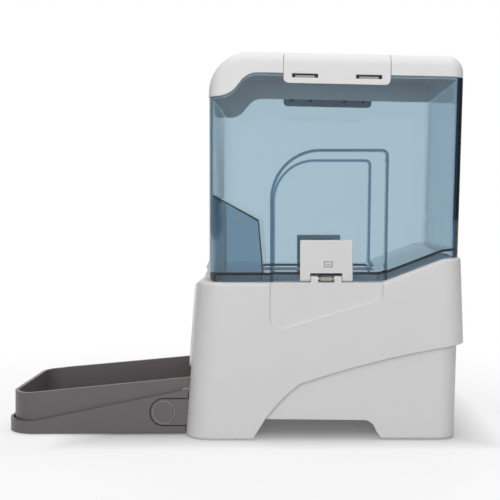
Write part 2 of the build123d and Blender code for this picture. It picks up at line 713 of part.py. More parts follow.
def gear_face(teeth, turn):
    """Involute spur gear outline, 20 degree pressure angle, teeth thinned for backlash."""
    pressure = math.radians(20)
    pitch = GEAR_MODULE * teeth / 2
    base = pitch * math.cos(pressure)
    root = pitch - 1.3 * GEAR_MODULE
    tip = pitch + GEAR_MODULE
    half_tooth = (math.pi / 2 - BACKLASH / GEAR_MODULE) / teeth + math.tan(pressure) - pressure
    start = max(base, root)
    flank = []
    for step in range(6):
        radius = start + (tip - start) * step / 5
        roll = math.acos(min(1.0, base / radius))
        flank.append((radius, half_tooth - math.tan(roll) + roll))
    points = []
    for tooth in range(teeth):
        middle = turn + 2 * math.pi * tooth / teeth
        foot = [(root, flank[0][1])] if start > root else []
        side = foot + flank
        tooth_points = [(radius, -angle) for radius, angle in side]
        tooth_points += [(radius, angle) for radius, angle in reversed(side)]
        for radius, angle in tooth_points:
            points.append((radius * math.cos(middle + angle), radius * math.sin(middle + angle)))
    edges = [Line(points[i], points[(i + 1) % len(points)]) for i in range(len(points))]
    return make_face(edges)


def gear(teeth, turn, x, z, y0, y1):
    """Spur gear about a Y axis."""
    plane = Plane(origin=(x, y1, z), x_dir=(1, 0, 0), z_dir=(0, -1, 0))
    return extrude(plane * gear_face(teeth, turn), amount=y1 - y0)


pinion_x = ROTOR_X + GEAR_MODULE * (ROTOR_TEETH + PINION_TEETH) / 2
wheel = gear(ROTOR_TEETH, 0.0, ROTOR_X, ROTOR_HEIGHT, gear_y0, gear_y1)
wheel -= rod_y(SHAFT_RADIUS, gear_y0 - 1, gear_y1 + 1, ROTOR_X, ROTOR_HEIGHT)
for index in range(6):
    angle = math.radians(60 * index + 30)
    x = ROTOR_X + 18.0 * math.cos(angle)
    z = ROTOR_HEIGHT + 18.0 * math.sin(angle)
    wheel -= rod_y(5.5, gear_y0 - 1, gear_y1 + 1, x, z)
save("rotor_gear", wheel)
plate_y1 = bracket_y + 2.5
spindle = 2.5
pinion_turn = math.pi + math.pi / PINION_TEETH
pinion = gear(PINION_TEETH, pinion_turn, pinion_x, ROTOR_HEIGHT, gear_y0, gear_y1)
pinion += rod_y(spindle, gear_y1 - 1.0, plate_y1 + 8.0, pinion_x, ROTOR_HEIGHT)
save("motor_pinion", pinion)
cam = rod_y(12.0, cam_y0, cam_y0 + 4.0, ROTOR_X, ROTOR_HEIGHT)
for index in range(VANE_COUNT):
    angle = math.radians(360 / VANE_COUNT * index)
    x = ROTOR_X + 12.0 * math.cos(angle)
    z = ROTOR_HEIGHT + 12.0 * math.sin(angle)
    cam += rod_y(2.2, cam_y0, cam_y0 + 4.0, x, z)
cam -= rod_y(SHAFT_RADIUS, cam_y0 - 1, cam_y0 + 5, ROTOR_X, ROTOR_HEIGHT)
save("portion_cam", cam)
switch_z = ROTOR_HEIGHT + 12.0 + 2.2 + 2.0
switch = block(ROTOR_X - 10, ROTOR_X + 10, cam_y0 - 2.0, -drum_half, switch_z, switch_z + 10.0)
switch += block(ROTOR_X - 9, ROTOR_X + 7, cam_y0, cam_y0 + 4, switch_z - 1.4, switch_z + 0.5)
save("portion_switch", switch)

# Motor on its bracket
bracket = block(
    ROTOR_X + POST_BACK - 6.5, pinion_x + 22.0, bracket_y, plate_y1,
    ROTOR_HEIGHT - BRACKET_HALF, ROTOR_HEIGHT + BRACKET_HALF,
)
bracket -= rod_y(spindle + 1.5, bracket_y - 1, plate_y1 + 1, pinion_x, ROTOR_HEIGHT)
save("motor_bracket", bracket)
gearbox_y1 = plate_y1 + GEARBOX_DEPTH
gearbox_x0 = pinion_x - GEARBOX_NOSE
gearbox_x1 = gearbox_x0 + GEARBOX_LENGTH
motor = block(
    gearbox_x0, gearbox_x1, plate_y1, gearbox_y1,
    ROTOR_HEIGHT - GEARBOX_HEIGHT / 2, ROTOR_HEIGHT + GEARBOX_HEIGHT / 2,
)
motor -= rod_y(spindle + RUN, plate_y1 - 1, plate_y1 + 8.5, pinion_x, ROTOR_HEIGHT)
motor_y = (plate_y1 + gearbox_y1) / 2
motor_x1 = gearbox_x1 + MOTOR_LENGTH
motor += rod_x(MOTOR_RADIUS, gearbox_x1 - 1.0, motor_x1, motor_y, ROTOR_HEIGHT)
motor += rod_x(MOTOR_RADIUS / 3, motor_x1 - 1.0, motor_x1 + 3.0, motor_y, ROTOR_HEIGHT)
save("gear_motor", motor)

# Front panel, drawn on the leaning front face: local x out, z up the face
lean = math.degrees(math.atan(FRONT_LEAN / DECK_HEIGHT))
fascia_height = DECK_HEIGHT - 4.0 - FASCIA_LOW
fascia_mid = FASCIA_LOW + fascia_height / 2
panel = Pos(front_x(fascia_mid), 0, fascia_mid) * Rot(0, lean, 0)
fascia_plate = Box(FASCIA_THICK, FASCIA_WIDTH, fascia_height)
fascia_plate = fillet(fascia_plate.edges().filter_by(Axis.X), 9.0)
fascia_plate = fillet(fascia_plate.faces().sort_by(Axis.X)[0].edges(), 1.2)
display_z = 17.0
display_w = 62.0
display_h = 30.0
keys_z = -18.0
fascia = Pos(-FASCIA_THICK / 2, 0, 0) * fascia_plate
window_cut = Pos(-FASCIA_THICK / 2, 0, display_z) * Box(FASCIA_THICK + 2, display_w, display_h)
fascia -= fillet(window_cut.edges().filter_by(Axis.X), 4.0)
key_places = [BUTTON_PITCH * (index - 1.5) for index in range(4)]


def key_cap(depth, grow):
    """Pill-shaped cap or its hole, along local x."""
    cap = Box(depth, BUTTON_LENGTH + 2 * grow, BUTTON_HEIGHT + 2 * grow)
    return fillet(cap.edges().filter_by(Axis.X), BUTTON_HEIGHT / 2 + grow - 0.05)


for place in key_places:
    fascia -= Pos(-FASCIA_THICK / 2, place, keys_z) * key_cap(FASCIA_THICK + 2, SEAM)
save("front_fascia", panel * fascia)
pane = Pos(-FASCIA_THICK + 1.0, 0, display_z) * Box(1.6, display_w, display_h)
pane = fillet(pane.edges().filter_by(Axis.X), 4.0)
save("display_window", panel * pane)
glass = Pos(-0.4, 0, display_z) * Box(1.6, display_w - 6, display_h - 6)
save("display_module", panel * (Pos(1.1, 0, display_z) * Box(4.6, display_w - 4, display_h - 4) + glass))
key_names = ["set_button", "plus_button", "minus_button", "feed_button"]
for name, place in zip(key_names, key_places):
    depth = FASCIA_THICK + BUTTON_PROUD + 1.0
    cap = Pos(depth / 2 - FASCIA_THICK - BUTTON_PROUD, place, keys_z) * key_cap(depth, 0)
    front = cap.faces().sort_by(Axis.X)[0]
    cap = fillet(front.edges(), 0.8)
    cap += Pos(1.2, place, keys_z) * Box(1.2, BUTTON_LENGTH + 2.4, BUTTON_HEIGHT + 2.4)
    save(name, panel * cap)
board_x = 3.4
board = Pos(board_x + 0.8, 0, 0) * Box(1.6, FASCIA_WIDTH - 22.0, fascia_height - 24.0)
for place in key_places:
    board += Pos(board_x - 0.05, place, keys_z) * Box(0.5, 6.0, 6.0)
for y, z in ((-44.0, 20.0), (44.0, 20.0)):
    board += Pos(board_x + 3.4, y, z) * Box(3.8, 12.0, 12.0)
save("control_board", panel * board)

# Hopper
edge_cut = prism(below_edge(0), -HALF - 20, HALF + 20)
shell_block = (hopper_body(0, 0) & edge_cut) - prism(below_deck(SEAM), -HALF - 20, HALF + 20)
shell_block -= recess(0)
toe_arc_x = HOPPER_FRONT + HOPPER_TOE_ARC
toe_arc_z = DECK_HEIGHT + SEAM + HOPPER_TOE_ARC
toe_round = block(HOPPER_FRONT - 1, toe_arc_x, -HALF, HALF, DECK_HEIGHT - 1, toe_arc_z)
toe_round -= Pos(toe_arc_x, 0, toe_arc_z) * Rot(90, 0, 0) * Cylinder(HOPPER_TOE_ARC, 2 * HALF)
shell_block -= toe_round
inside = hopper_body(HOPPER_WALL, HOPPER_REAR_EXTRA) - recess(HOPPER_WALL)
above_floor = inside - prism(below_deck(FLOOR_LIFT + FLOOR_THICK), -HALF, HALF)
under_floor = inside & prism(below_deck(FLOOR_LIFT), -HALF, HALF)
under_floor -= block(
    HOPPER_FRONT - 1, HOPPER_FRONT + HOPPER_TOE_DEPTH, -HALF, HALF,
    DECK_HEIGHT - 60, DECK_HEIGHT + FLOOR_LIFT + 1,
)
hopper = shell_block - above_floor - under_floor
hopper -= block(
    TOE + THROAT_FRONT, TOE + THROAT_REAR, -THROAT_WIDTH / 2, THROAT_WIDTH / 2,
    DECK_HEIGHT + 2, DECK_HEIGHT + FLOOR_LIFT + FLOOR_THICK + 2,
)
save("hopper", hopper)

baffle_low = DECK_HEIGHT + FLOOR_LIFT + FLOOR_THICK
baffle_front = HOPPER_FRONT + HOPPER_WALL + 0.5
baffle_half = HOPPER_HALF - HOPPER_WALL - 0.5


def baffle_face(inset, low):
    """Closed space under the hopper's front slope."""
    knee = HOPPER_FRONT + BAFFLE_DEPTH + 4.0
    points = [
        (baffle_front + inset, low),
        (baffle_front + inset, BAFFLE_TOP - inset * 1.6),
        (knee - inset, BAFFLE_KNEE - inset * 1.6),
        (knee + 4.5 - inset, low),
    ]
    return outline(points, [0, 1.0, 3.0, 0])


def baffle_body(inset, side_inset, low):
    """Baffle block with rounded front corners, moved in by an inset and by another at its sides."""
    half = baffle_half - side_inset
    front = baffle_front + inset
    solid = block(front, front + BAFFLE_DEPTH + 40, -half, half, low, BAFFLE_TOP + 40)
    solid = fillet(upright(solid, front - 1, front + 1), HOPPER_FRONT_CORNER - HOPPER_WALL - 0.5 - inset)
    return solid & prism(baffle_face(inset, low), -half, half)


baffle = baffle_body(0, 0, baffle_low)
hollow = baffle_body(BAFFLE_WALL, BAFFLE_CHEEK, baffle_low - 5)
save("hopper_baffle", baffle - hollow)

# Catch in front of the hopper's lower edge
catch_points = [
    (HOPPER_FRONT - 0.5, DECK_HEIGHT + 22.0),
    (HOPPER_FRONT - 5.4, DECK_HEIGHT + 12.0),
    (HOPPER_FRONT - 3.8, DECK_HEIGHT + 9.0),
    (HOPPER_FRONT - CATCH_DEPTH, DECK_HEIGHT + 4.5),
    (HOPPER_FRONT - CATCH_DEPTH, DECK_HEIGHT),
    (HOPPER_FRONT - 0.5, DECK_HEIGHT),
]
save("front_catch", prism(outline(catch_points, [0, 1.0, 0.8, 0.8, 0, 0]), -CATCH_WIDTH / 2, CATCH_WIDTH / 2))

# Lid
lid_floor = LID_TOP_HEIGHT - 90.0
lid_outer = lid_body(0, lid_floor)
lid_inner = lid_body(LID_WALL, lid_floor)
lid_keep = prism(below_edge(SEAM), -HALF - 20, HALF + 20)
rib_keep = prism(below_edge(-LID_RIB), -HALF - 20, HALF + 20)


def rib_body(inset):
    """Block for the locating rib, with the hopper's corner radii."""
    solid = hopper_body(HOPPER_WALL + SEAM + inset, HOPPER_REAR_EXTRA)
    return solid & lid_outer


lid = lid_outer - lid_inner - lid_keep
lid += (rib_body(0) - rib_body(LID_RIB_WALL) - rib_keep) & lid_body(1.0, lid_floor)

clip_local = Pos(CLIP_X, 0, lid_line(CLIP_X)) * Rot(0, LID_SLOPE, 0)
hinge_y = LID_HALF - CLIP_HINGE_INSET
pocket_depth = CLIP_THICK + SEAM
pocket_wall = pocket_depth + 2.2
side_low = -LID_SKIRT - CLIP_DROP


def clip_zone(grow, inner, low, corner=0.0):
    """Box over the right-hand clip, in the lid's slope, with its lower corners rounded."""
    length = CLIP_LENGTH + 2 * grow
    depth = LID_HALF + 20 - inner
    zone = Box(length, depth, 30 - low)
    if corner:
        zone = fillet(zone.edges().filter_by(Axis.Y).sort_by(Axis.Z)[:2], corner)
    return clip_local * Pos(0, -inner - depth / 2, (low + 30) / 2) * zone


def both(solid):
    """A piece and its mirror."""
    return solid + mirror_y(solid)


hinge_rod = CLIP_LENGTH / 2 + 6.0


def clip_rod(radius, reach):
    """Bar on the right-hand clip's hinge line."""
    return clip_local * Pos(0, -hinge_y, -CLIP_BARREL) * Rot(0, 90, 0) * Cylinder(radius, 2 * reach)


pocket = lid_outer - lid_body(pocket_wall, lid_floor)
pocket = pocket & clip_zone(SEAM + 3.0, hinge_y - CLIP_BARREL - 3.4, -FAR)
pocket -= lid_keep
lid += both(pocket)
boss = clip_rod(CLIP_BARREL + 2.6, hinge_rod) & lid_outer
lid += both(boss)
skin = lid_outer - lid_body(pocket_depth, lid_floor)
cut = (skin & clip_zone(SEAM, hinge_y, -FAR)) + clip_rod(CLIP_BARREL + SEAM, CLIP_LENGTH / 2 + SEAM)
cut += clip_local * Pos(0, -hinge_y, 2.0) * Box(CLIP_LENGTH + 2 * SEAM, 2 * (CLIP_BARREL + SEAM), 8.0)
lid -= both(cut)
pin_reach = CLIP_LENGTH / 2 + 4.5
lid -= both(clip_rod(CLIP_PIN, pin_reach))
save("lid", lid)
right_pin = clip_rod(CLIP_PIN, pin_reach)
save("clip_pins", right_pin, mirror_y(right_pin))

clip_skin = lid_outer - lid_body(CLIP_THICK, lid_floor)
clip = clip_skin & clip_zone(0, hinge_y, side_low, CLIP_CORNER)
clip += clip_rod(CLIP_BARREL, CLIP_LENGTH / 2)
window_z = -LID_SKIRT - 1.6
for place in (-WINDOW_SPACING / 2, WINDOW_SPACING / 2):
    clip -= clip_local * Pos(place, -LID_HALF, window_z) * Box(WINDOW_LENGTH, 12, WINDOW_HEIGHT)
    hook_in = HOPPER_HALF + 0.35
    hook_out = LID_HALF - 0.9
    hook = Pos(place, -(hook_in + hook_out) / 2, window_z - 1.2) * Box(HOOK_LENGTH, hook_out - hook_in, 3.2)
    clip += clip_local * hook
clip -= clip_rod(CLIP_PIN + RUN, hinge_rod)
save("lid_clip_right", clip)
save("lid_clip_left", mirror_y(clip))

# Hopper latches, their pins and springs
latch_top = DECK_HEIGHT + LATCH_HEIGHT
plate_out = -latch_y - LATCH_BARREL
plate = block(
    LATCH_X - LATCH_LENGTH / 2, LATCH_X + LATCH_LENGTH / 2,
    plate_out, plate_out + LATCH_THICK,
    latch_z, latch_top,
)
plate = fillet(plate.faces().sort_by(Axis.Y)[0].edges().filter_by(Axis.Z), 1.0)
plate = fillet(plate.faces().sort_by(Axis.Z)[-1].edges().filter_by(Axis.X), 1.2)
plate += rod_x(LATCH_BARREL, LATCH_X - LATCH_LENGTH / 2, LATCH_X + LATCH_LENGTH / 2, -latch_y, latch_z)
nose_in = HOPPER_HALF - RECESS_DEPTH + SEAM
nose = block(
    LATCH_X - 16, LATCH_X + 16, plate_out + 1.0, -nose_in, latch_top - 8.0, latch_top - 3.0
)
plate += nose
plate -= block(
    LATCH_X - LATCH_WINDOW / 2, LATCH_X + LATCH_WINDOW / 2, plate_out - 5, 0, latch_z - 6, DECK_HEIGHT + 8.6
)
plate -= rod_x(LATCH_PIN + RUN, LATCH_X - 40, LATCH_X + 40, -latch_y, latch_z)
save("latch_plate_right", plate)
save("latch_plate_left", mirror_y(plate))
latch_rod = rod_x(LATCH_PIN, LATCH_X - LATCH_LENGTH / 2, LATCH_X + LATCH_LENGTH / 2, -latch_y, latch_z)
save("latch_pins", latch_rod, mirror_y(latch_rod))


def helix_point(turn):
    """Place and heading on the spring's middle line."""
    angle = 2 * math.pi * turn
    rise = SPRING_PITCH / (2 * math.pi * SPRING_RADIUS)
    place = Vector(SPRING_PITCH * turn, SPRING_RADIUS * math.cos(angle), SPRING_RADIUS * math.sin(angle))
    heading = Vector(rise, -math.sin(angle), math.cos(angle)).normalized()
    return place, heading


def biarc(start, heading0, end, heading1):
    """Two arcs that meet smoothly between two places and headings."""
    span = end - start
    both_ways = heading0 + heading1
    a = 2 * (1 - heading0.dot(heading1))
    b = 2 * span.dot(both_ways)
    c = -span.dot(span)
    reach = (-b + math.sqrt(b * b - 4 * a * c)) / (2 * a)
    left = start + heading0 * reach
    right = end - heading1 * reach
    joint = (left + right) * 0.5
    return [Edge.make_tangent_arc(start, heading0, joint), Edge.make_tangent_arc(joint, right - joint, end)]


coil_edges = []
for step in range(SPRING_TURNS * 4):
    start, heading0 = helix_point(step / 4)
    end, heading1 = helix_point((step + 1) / 4)
    coil_edges += biarc(start, heading0, end, heading1)
coil_path = Wire(coil_edges)
first, heading = helix_point(0)
coil = sweep(Plane(origin=first, z_dir=heading) * Circle(SPRING_WIRE / 2), path=coil_path)
coil_length = SPRING_PITCH * SPRING_TURNS
spring = Pos(LATCH_X - coil_length / 2, -latch_y, latch_z) * coil
save("latch_spring_right", spring)
save("latch_spring_left", mirror_y(spring))
samples = [helix_point(SPRING_TURNS * i / 900)[0] for i in range(901)]
least = min(
    (samples[i] - samples[j]).length
    for i in range(901)
    for j in range(i + 60, 901)
)
print("least gap of a spring to itself", round(least - SPRING_WIRE, 2), "mm")

# Tray with slots for the arms
tray_low = 1.0
tray_floor = 2.4


def plan_face(inset, rear):
    """Outline of the tray or bowl from above."""
    front = TIP + inset
    points = [
        (rear, tray_half(rear) - inset),
        (front, tray_half(front) - inset),
        (front, -tray_half(front) + inset),
        (rear, -tray_half(rear) + inset),
    ]
    radius = TRAY_CORNER - inset
    return outline(points, [0, radius, radius, 0])


def upto(x0, z0, x1, z1):
    """Side wedge under a sloped line, flat in front of its first point."""
    points = [
        (TIP - 50, z0),
        (x0, z0),
        (x1, z1),
        (TOE + 60, z1 + (z1 - z0) / (x1 - x0) * (TOE + 60 - x1)),
        (TOE + 60, -20),
        (TIP - 50, -20),
    ]
    return prism(outline(points, [0, 20.0, 0, 0, 0, 0]), -HALF, HALF)


def wing(start, inset, wall, low, high):
    """Side walls carried on to the leaning front of the base."""
    points = [
        (start, low),
        (front_x(low) - WING_GAP, low),
        (front_x(high) - WING_GAP, high),
        (start, high),
    ]
    outer = tray_half(tray_end) - inset
    right = prism(outline(points, [0] * 4), -outer, -outer + wall)
    return right + mirror_y(right)


tray_block = Pos(0, 0, tray_low) * extrude(plan_face(0, tray_end), amount=60)
tray_inside = plan_face(TRAY_WALL, tray_end - TRAY_WALL)
tray_hollow = Pos(0, 0, tray_low + tray_floor) * extrude(tray_inside, amount=60)
tray_cut = upto(TIP + 30.0, TRAY_FRONT_EDGE, tray_end, TRAY_REAR_EDGE)
tray = (tray_block & tray_cut) - tray_hollow
tray += wing(tray_end - 1.0, 0, TRAY_WALL, tray_low, 60) & tray_cut
rear_drop = CHUTE_LOW - 6.5
drop_half = tray_half(tray_end) - TRAY_WALL
tray -= block(tray_end - 8, tray_end + 5, -drop_half, drop_half, rear_drop, 80)
tray_arm_x0 = TOE - ARM_REACH
slot_face = outline(
    [
        (tray_arm_x0 - ARM_GAP, arm_low - ARM_GAP),
        (tray_arm_x0 - ARM_GAP, arm_high + ARM_GAP),
        (TOE + 20, arm_high + ARM_GAP),
        (TOE + 20, arm_low - ARM_GAP),
    ],
    [ARM_HEIGHT / 2 + ARM_GAP - 0.1, ARM_HEIGHT / 2 + ARM_GAP - 0.1, 0, 0],
)
slot_in = tray_half(tray_end) - TRAY_WALL - 4.0
arm_gap = prism(slot_face, -HALF, -slot_in)
tray = tray - arm_gap - mirror_y(arm_gap)
save("bowl_tray", tray)
pad_places = [(TIP + 22.0, 40.0), (TIP + 22.0, -40.0)]
save("tray_pads", *[rod_z(6.0, 0, tray_low, x, y) for x, y in pad_places])

# Arms joined behind the front wall
arm_face = outline(
    [
        (tray_arm_x0, arm_low),
        (tray_arm_x0, arm_high),
        (TOE + 10.0, arm_high),
        (TOE + 10.0, arm_low),
    ],
    [ARM_HEIGHT / 2 - 0.1, ARM_HEIGHT / 2 - 0.1, 0, 0],
)
arm_right = prism(arm_face, -arm_out, -arm_out + ARM_THICK)
ring = rod_y(11.6, -arm_out - 2, -arm_out + 0.5, arm_x, ARM_MIDDLE) - rod_y(
    10.0, -arm_out - 3, -arm_out + 2, arm_x, ARM_MIDDLE
)
arm_right -= ring
arms = arm_right + mirror_y(arm_right)
arms += block(TOE + 7.5, TOE + 10.5, -arm_out, arm_out, arm_low, CHUTE_LOW - DRUM_WALL - 4.0)
save("tray_arms", arms)

# Bowl
bowl_low = tray_low + tray_floor
bowl_end = tray_end - TRAY_WALL - 0.5
bowl_block = Pos(0, 0, bowl_low) * extrude(plan_face(BOWL_INSET, bowl_end), amount=70)
bowl_hollow = Pos(0, 0, bowl_low + BOWL_WALL) * extrude(
    plan_face(BOWL_INSET + BOWL_WALL, bowl_end - BOWL_WALL), amount=70
)
hollow_floor = bowl_hollow.faces().sort_by(Axis.Z)[0]
bowl_hollow = fillet(hollow_floor.edges(), 9.0)
bowl_cut = upto(TIP + 20.0, BOWL_FRONT_RIM, bowl_end, BOWL_REAR_RIM)
bowl = (bowl_block & bowl_cut) - bowl_hollow
bowl += wing(bowl_end - 1.0, BOWL_INSET, BOWL_WALL, TRAY_REAR_EDGE + 1.6, 70) & bowl_cut
spout_half = tray_half(bowl_end) - BOWL_INSET - BOWL_WALL
spout_low = CHUTE_LOW - 3.5
bowl -= block(bowl_end - 14, bowl_end + 5, -spout_half, spout_half, spout_low, 90)
lip_end = front_x(spout_low) - 2.2
bowl += block(bowl_end - BOWL_WALL, lip_end, -spout_half, spout_half, spout_low - 2.0, spout_low)
save("food_bowl", bowl)
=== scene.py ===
"""Automatic pet feeder: finishes, small pieces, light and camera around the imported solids."""

import math

import bmesh
import bpy
from bpy.props import FloatProperty, FloatVectorProperty, IntProperty, PointerProperty
from mathutils import Matrix, Vector


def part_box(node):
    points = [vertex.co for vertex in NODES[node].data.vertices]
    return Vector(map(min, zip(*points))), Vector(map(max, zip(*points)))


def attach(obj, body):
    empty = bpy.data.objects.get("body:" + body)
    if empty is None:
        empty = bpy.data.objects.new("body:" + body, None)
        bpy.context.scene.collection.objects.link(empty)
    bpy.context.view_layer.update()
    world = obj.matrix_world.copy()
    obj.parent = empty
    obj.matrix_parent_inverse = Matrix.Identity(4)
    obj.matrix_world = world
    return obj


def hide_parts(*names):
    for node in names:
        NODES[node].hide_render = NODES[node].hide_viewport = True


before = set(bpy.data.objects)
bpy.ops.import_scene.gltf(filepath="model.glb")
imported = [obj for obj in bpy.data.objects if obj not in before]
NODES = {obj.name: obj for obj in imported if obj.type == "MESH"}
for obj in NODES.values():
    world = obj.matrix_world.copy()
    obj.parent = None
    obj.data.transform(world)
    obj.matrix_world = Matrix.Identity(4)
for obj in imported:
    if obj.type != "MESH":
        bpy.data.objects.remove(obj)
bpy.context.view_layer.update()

bl_info = {
    "name": "Pet Feeder Finishes",
    "version": (1, 0, 0),
    "blender": (4, 5, 0),
    "location": "View3D > Sidebar > Feeder",
    "description": "Finishes, small pieces and studio for an automatic pet feeder",
    "category": "Object",
}

# Nodes by finish
LID_WHITE_NODES = ("lid", "lid_clip_right", "lid_clip_left")
BASE_WHITE_NODES = (
    "base_upper_shell",
    "battery_cover",
    "battery_box",
    "front_catch",
    "latch_plate_right",
    "latch_plate_left",
    "feed_housing",
)
CLEAR_NODES = ("hopper", "hopper_baffle")
GREY_NODES = ("bowl_tray", "food_bowl", "tray_arms")
KEY_NODES = ("set_button", "plus_button", "minus_button", "feed_button")
STEEL_NODES = (
    "base_screws",
    "clip_pins",
    "latch_pins",
    "rotor_shaft",
    "motor_bracket",
    "battery_contacts",
)
NYLON_NODES = ("rotor_hub", "rotor_gear", "portion_cam", "motor_pinion")
RUBBER_NODES = ("rubber_feet", "tray_pads", "rotor_vanes")
DARK_NODES = ("portion_switch", "power_inlet")

# The photographed side is the right one
SIDES = {"right": -1.0, "left": 1.0}

# Shading of the nodes: welded and split meshes, softened edges, painted shade in the seams of the
# lower shell, clear plastic
WELD_REACH = 0.000002
SPLIT_ANGLE = math.radians(28)
EDGE_ROUND = 0.0011
EDGE_SAMPLES = 6
PAINTED_SHADE_REACH = 0.004
PAINTED_SHADE_SAMPLES = 8
BROAD_SCALE = 14.0
BROAD_DETAIL = 3.0
FINE_DETAIL = 2.0
CLEAR_IOR = 1.49
DRAWN_METAL = {"tone_spread": 0.08, "grain": 900.0, "bump": 0.15, "depth": 0.00004, "metallic": 1.0}

# Front panel: a local frame that leans with the base's front face
PANEL_ORIGIN = Vector((-0.0385, 0.0, 0.105))
PANEL_LEAN = math.radians(4.355)
PANEL = Matrix.Translation(PANEL_ORIGIN) @ Matrix.Rotation(PANEL_LEAN, 4, "Y")

# Lid clips: a local frame that falls to the rear with the lid
CLIP_ORIGIN = Vector((0.1015, 0.0, 0.37216))
CLIP_LEAN = math.radians(1.25)
CLIP_FRAME = Matrix.Translation(CLIP_ORIGIN) @ Matrix.Rotation(CLIP_LEAN, 4, "Y")

# Windows of a clip, and the tongue and the dark sheet of painted shadow in each, as depths behind
# the clip's face
CLIP_WINDOWS = (-0.0307, 0.0307)
WINDOW_DROP = -0.0236
WINDOW_HALF_LENGTH = 0.0125
WINDOW_HALF_HEIGHT = 0.00195
TONGUE_TOP = WINDOW_DROP + 0.0004
TONGUE_DEPTHS = (0.0007, 0.0011)
SHADOW_SHEET_DEPTHS = (0.0012, 0.0017)

# Middle of the round groove on each arm, and the share of the bead that is sunk in it
RING_X = -0.0682
RING_Z = 0.0217
RING_SINK = 0.36
RING_STEPS = 96
RING_SIDES = 14
COIL_SIDES = 12

# Frame marked on each latch: its middle, line, dash and the depth that holds it to the face
MARK_X = 0.0926
MARK_Z = 0.1683
MARK_LINE = 0.0008
MARK_DASH = 0.45
MARK_SINK = 0.0001

# Figures of the display in shares of their height or width, and their depth on either side
READING = "1830"
FIGURE_PLACES = (-1.62, -0.62, 0.62, 1.62)
FIGURE_WIDTH = 0.5
FIGURE_STEP = 1.75
FIGURE_THICKNESS = 0.14
FIGURE_HALF_DEPTH = 0.0001
BAR_POINT = 0.56
BAR_GAP = 0.1
COLON_HEIGHTS = (0.3, 0.7)
COLON_HALF = 0.55
BARS = {
    "0": "abcdef",
    "1": "bc",
    "2": "abged",
    "3": "abgcd",
    "4": "fgbc",
    "5": "afgcd",
    "6": "afgedc",
    "7": "abc",
    "8": "abcdefg",
    "9": "abcdfg",
}

# Signs on the keys: half length, half line, the depth that holds them and the steps of the ring
SIGN_ARM = 0.0024
SIGN_LINE = 0.00045
SIGN_SINK = 0.00005
SIGN_STEPS = 24
POINTER_TOP = 0.8
MERGE_REACH = 0.000001

# Softboxes: name, place, aim, size and power
LAMPS = (
    ("top_softbox", (0.1, -0.2, 2.0), (0.05, 0.0, 0.15), 1.8, 21.0),
    ("front_softbox", (-0.1, -2.3, 0.6), (0.05, 0.0, 0.2), 1.1, 24.0),
    ("rear_softbox", (0.2, 2.2, 0.9), (0.05, 0.0, 0.2), 1.4, 20.0),
)

# Backdrop: light from the sides and from the ends, the turn between them, and thrown light
WHITE = (1.0, 1.0, 1.0, 1.0)
AMBIENT_SIDES = 0.25
AMBIENT_ENDS = 0.13
MIRROR_LOSS = 0.75
ENDS_FROM = 0.35
ENDS_FULL = 0.8
THROWN_FRONT = (0.8, 0.9, 0.97, 1.0)
THROWN_REAR = (0.1, 0.2, 0.38, 1.0)
THROWN_TURN = 0.1
THROWN_BOUNCES = 0.5
THROWN_PASSES = 2.5

# Floor: its half size, drop and tone, the object's footprint, the glow round it with painted shade
# under the object, and the fade
FLOOR_HALF = 6.0
FLOOR_DROP = 0.0003
FLOOR_TONE = (0.45, 0.45, 0.45, 1.0)
FLOOR_ROUGHNESS = 0.8
FOOT_MIDDLE = 0.045
FOOT_HALF_LENGTH = 0.17
FOOT_HALF_WIDTH = 0.085
LIFT_FROM = -0.02
LIFT_FULL = 0.05
LIFT_UNDER_PAINTED_SHADE = 0.12
LIFT_CLEAR = 0.58
FADE_FROM = 0.3
FADE_FULL = 0.55

# Camera: level, with the picture slid off the lens's axis
CAMERA_PLACE = (0.0501, -0.966, 0.2194)
CAMERA_TURN = (math.radians(90), 0.0, 0.0)
CAMERA_SENSOR = 36.0
CAMERA_LENS = 65.2
CAMERA_SHIFT = (-0.068, -0.078)


def colour(label, text, default):
    """A colour setting."""
    return FloatVectorProperty(
        name=label, description=text, subtype="COLOR", size=3, min=0.0, max=1.0, default=default
    )


def length(label, text, default):
    """A length setting in metres."""
    return FloatProperty(
        name=label, description=text, unit="LENGTH", min=0.0, precision=5, default=default
    )


class FeederFinish(bpy.types.PropertyGroup):
    """Colours of the mouldings that show"""

    lid_white: colour("Lid white", "Moulded white of the lid and its clips", (0.84, 0.84, 0.845))
    base_white: colour("Base white", "Moulded white of the base", (0.76, 0.755, 0.755))
    bowl_grey: colour("Bowl grey", "Moulded grey of the tray and bowl", (0.143, 0.13, 0.132))
    ring_grey: colour("Ring grey", "Moulded grey of the ring on an arm", (0.34, 0.325, 0.325))
    # Painted shade: the tongues are white plastic, given a grey that stands for their shade in the
    # windows.
    tongue_painted_shade: colour("Tongue grey", "Moulded grey of a clip's tongues", (0.40, 0.375, 0.36))
    mark_grey: colour("Mark grey", "Grey of the frame marked on a latch", (0.32, 0.315, 0.31))
    key_grey: colour("Key grey", "Moulded grey of the four keys", (0.36, 0.37, 0.39))
    fascia_white: colour("Fascia white", "Moulded white of the front panel", (0.82, 0.82, 0.825))
    tint: colour(
        "Hopper tint", "Share of each colour that the clear walls spare", (0.0, 0.319, 0.483)
    )
    tint_depth: FloatProperty(
        name="Tint depth",
        description="Absorption of the clear walls per metre",
        min=0.0,
        default=173.0,
    )


